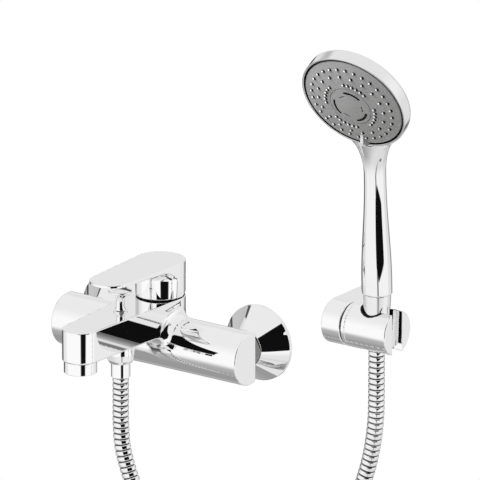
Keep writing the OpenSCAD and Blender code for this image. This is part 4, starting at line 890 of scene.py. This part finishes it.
# Nozzles
# Soft nozzles of the mat behind the face stand out of it in two rings and four groups, so that scale rubs off.
# Each is drawn as a round black bead, painted shade round the nozzle, with a light tip set in towards its upper left,
# a painted highlight.
# Light grey colour of the tips, smooth and half glossy: a painted highlight
highlight_tip_finish = moulded("light rubber as painted highlight", "e8e8e8", "dedede", 0.2, 0.6667, 0.00003)
nozzle_spots = []
for ring_r, count, arc, groups, first in ((36.6, 30, 360, 1, 0), (30.0, 18, 360, 1, 15), (22.6, 6, 50, 4, 66)):
    for g in range(groups):
        for i in range(count):
            step = 360 / count * i if arc == 360 else arc * (i / (count - 1) - 0.5)
            angle = math.radians(first + 360 / groups * g + step)
            nozzle_spots.append((ring_r * math.cos(angle), ring_r * math.sin(angle), dome_at(ring_r)))
rows, given = node_tree("nozzle rows", (
    ("Spots", "Geometry"), ("Radius", "Float"), ("Flatness", "Float"), ("Rise", "Float"), ("Facing", "Rotation"),
    ("Finish", "Material")), "Nozzles")
bead = add(rows, "GeometryNodeMeshUVSphere", [("Segments", 14), ("Rings", 8), ("Radius", given["Radius"])])
bead_smooth = add(rows, "GeometryNodeSetShadeSmooth", [("Geometry", bead)])
dots = add(rows, "GeometryNodeMeshToPoints", [("Mesh", given["Spots"])])
flattened = add(rows, "ShaderNodeCombineXYZ", [(0, 1.0), (1, 1.0), (2, given["Flatness"])])
placed = add(rows, "GeometryNodeInstanceOnPoints", [
    ("Points", dots), ("Instance", bead_smooth), ("Rotation", given["Facing"]), ("Scale", flattened)])
raised = add(rows, "ShaderNodeCombineXYZ", [(2, given["Rise"])])
lifted = add(rows, "GeometryNodeTranslateInstances", [
    ("Instances", placed), ("Local Space", True), ("Translation", raised)])
add(rows, "NodeGroupOutput", [("Nozzles", dressed(rows, lifted, given["Finish"]))])


def nozzle_piece(name, radius, flatness, rise, shift, finish):
    spots = bpy.data.meshes.new(name)
    spots.from_pydata([(face_place @ (Vector(p) + Vector(shift))) * MM for p in nozzle_spots], [], [])
    source = bpy.data.objects.new(name + "_spots", spots)
    scene.collection.objects.link(source)
    piece = grown(name, source, rows, {
        "Radius": radius * MM, "Flatness": flatness, "Rise": rise * MM, "Facing": face_place.to_euler(),
        "Finish": finish})
    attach(piece, "spray")
    return piece


# Black beads, painted shade round each nozzle
nozzles = nozzle_piece("nozzle_rows", 1.4, 0.75, 0.0, (0, 0, 0), black_acetal_for_shade)
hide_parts("nozzle_mat")
# Light tips shifted towards the upper left, painted highlights
nozzle_piece("nozzle_highlight_tips", 0.85, 1.0, 0.7, (-0.6, 0.2, 0), highlight_tip_finish)

# Centre plate
# A shallow plate of the same grey plastic clips into the middle of the face. Three wide slots and three fine
# ones let the massage jets out of the black insert behind it, whose bars rise nearly to the face as painted shade in
# the slots. A black ring in the gap round the face is painted shade in that gap.
plate_r, insert_r = 18.35, 18.6


def jet_slots(across, up):
    """Distance to the nearest of the curved slots, seen from the front."""
    r, angle = np.hypot(across, up), np.degrees(np.arctan2(up, across))
    nearest = 99.0
    for first, ring_r, half_w, half_arc in ((70, 14.5, 1.0, 27), (118, 11.2, 0.35, 13)):
        for middle in (first, first + 120, first + 240):
            away = np.abs((angle - middle + 180) % 360 - 180)
            past = np.maximum(away - half_arc, 0) * math.radians(1) * ring_r
            nearest = np.minimum(nearest, np.hypot(r - ring_r, past) - half_w)
    return nearest


def centre_shape(x, y, z):
    across, up, out = on_face(x, y, z)
    r = np.hypot(across, up)
    solid = meet(meet(r - plate_r, out - dome_at(r), 0.3), dome_at(insert_r) - 1.3 - out, 0.2)
    return cut(solid, jet_slots(across, up))


# The insert's bars rise nearly to the face, so that the slots show black as painted shade
def slot_shade_insert_shape(x, y, z):
    across, up, out = on_face(x, y, z)
    r = np.hypot(across, up)
    slot_shade_bars = np.maximum(jet_slots(across, up) + 0.02, out - dome_at(r) + 0.06)
    disc = np.maximum(r - insert_r, out - dome_at(insert_r) + 1.4)
    return np.maximum(np.minimum(slot_shade_bars, disc), 0.6 - out)


centre = skin("centre_plate", centre_shape, (208, -110, 236), (250, -80, 274), 0.36, face_grey)
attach(centre, "spray")
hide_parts("spray_centre")
# Black insert filling the slots, painted shade
insert = skin("jet_insert_slot_shade", slot_shade_insert_shape, (206, -110, 234), (250, -76, 274), 0.36, black_acetal_for_shade)
# A black ring set low in the gap round the face, painted shade in that gap
gap_shade_profile = [(43.4, -5.0), (45.28, -5.0), (45.28, -0.4), (44.85, -0.4), (44.85, -3.6), (43.4, -3.6)]
gap_ring = turned("face_gap_shade_ring", gap_shade_profile, face_place, black_acetal_for_shade, 0.15, closed=True)
for piece in (insert, gap_ring):
    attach(piece, "spray")

# Inner parts
# What stays as the CAD has it is mostly inside or behind: cartridge, washers, screws and inserts. Each gets the
# finish of the material it is made of.


def worked(name, colour, metal, rough, mark_mm, depth):
    """A machined metal or a plain moulding, with tool marks or grain drawn coarse enough to show."""
    finish, tree = bare_finish(name)
    place = add(tree, "ShaderNodeTexCoord").outputs["Object"]
    marks = add(tree, "ShaderNodeTexNoise", [("Vector", place), ("Scale", 1000 / mark_mm), ("Detail", 4.0)])
    bump = add(tree, "ShaderNodeBump", [("Strength", 0.3), ("Distance", depth), ("Height", marks)])
    shader = add(tree, "ShaderNodeBsdfPrincipled", [
        ("Base Color", paint(colour)), ("Metallic", metal),
        ("Roughness", fade(tree, marks, 0.3, 0.7, rough, rough + 0.12)), ("Normal", bump)])
    add(tree, "ShaderNodeOutputMaterial", [("Surface", shader)])
    return finish


inner_finishes = {
    # Brass as it leaves the lathe, yellow and half bright
    "brass": worked("machined brass", "c9a55a", 1.0, 0.22, 1.111, 0.00005),
    # Stainless steel of screws and wire, grey and half bright
    "steel": worked("stainless steel", "b9bab8", 1.0, 0.2, 1.111, 0.00004),
    # Moulded rubber of the seals, black and dull
    "rubber": worked("black sealing rubber", "1d1d1e", 0.0, 0.55, 0.833, 0.00006),
    # Moulded acetal of the cartridge, white and a little waxy
    "white_plastic": worked("white acetal", "e6e5df", 0.0, 0.35, 0.833, 0.00004),
    # Ceramic discs lapped flat, white and smooth
    "ceramic": worked("lapped ceramic", "f0efeb", 0.0, 0.12, 0.5, 0.00002),
    "grey_plastic": face_grey,
    # Moulded plug that hides the lever's screw, red and half glossy
    "plug_plastic": worked("red marker plastic", "b3282d", 0.0, 0.3, 0.833, 0.00003),
}
slot_of = {part["node"]: part["material_slot"] for part in frame["record"]["subparts"]}
for name, thing in frame["nodes"].items():
    thing.data.materials.clear()
    thing.data.materials.append(inner_finishes.get(slot_of[name], chrome))

# Diverter spring
# A spring of stainless wire stands between the diverter's piston and its bush, and pushes the piston down again
# when the water is turned off. It is drawn at one length and doesn't shorten as the knob is pulled up.
spring_low, spring_top, spring_travel, spring_r, wire_r, spring_turns = 20.15, 32.95, 7.45, 3.4, 0.5, 4.5
coils, given = node_tree("wound spring", (
    ("Radius", "Float"), ("Height", "Float"), ("Turns", "Float"), ("Wire radius", "Float"), ("Foot", "Vector"),
    ("Finish", "Material")), "Spring")
wire_line = add(coils, "GeometryNodeCurveSpiral", [
    ("Resolution", 28), ("Rotations", given["Turns"]), ("Start Radius", given["Radius"]),
    ("End Radius", given["Radius"]), ("Height", given["Height"])])
wire_ring = add(coils, "GeometryNodeCurvePrimitiveCircle", [("Resolution", 12), ("Radius", given["Wire radius"])])
wire = add(coils, "GeometryNodeCurveToMesh", [
    ("Curve", wire_line), ("Profile Curve", wire_ring), ("Fill Caps", True)])
stood = add(coils, "GeometryNodeTransform", [("Geometry", wire), ("Translation", given["Foot"])])
smoothed = add(coils, "GeometryNodeSetShadeSmooth", [("Geometry", stood)])
add(coils, "NodeGroupOutput", [("Spring", dressed(coils, smoothed, given["Finish"]))])
spring_source = bpy.data.objects.new("spring_source", bpy.data.meshes.new("spring_source"))
scene.collection.objects.link(spring_source)
spring = grown("diverter_return_spring", spring_source, coils, {
    "Radius": spring_r * MM, "Height": (spring_top - spring_low - 2 * wire_r) * MM, "Turns": spring_turns,
    "Wire radius": wire_r * MM, "Foot": (0, -valve_out * MM, (spring_low + wire_r) * MM),
    "Finish": inner_finishes["steel"]})
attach(spring, "mixer")
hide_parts("diverter_spring")
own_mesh(spring)
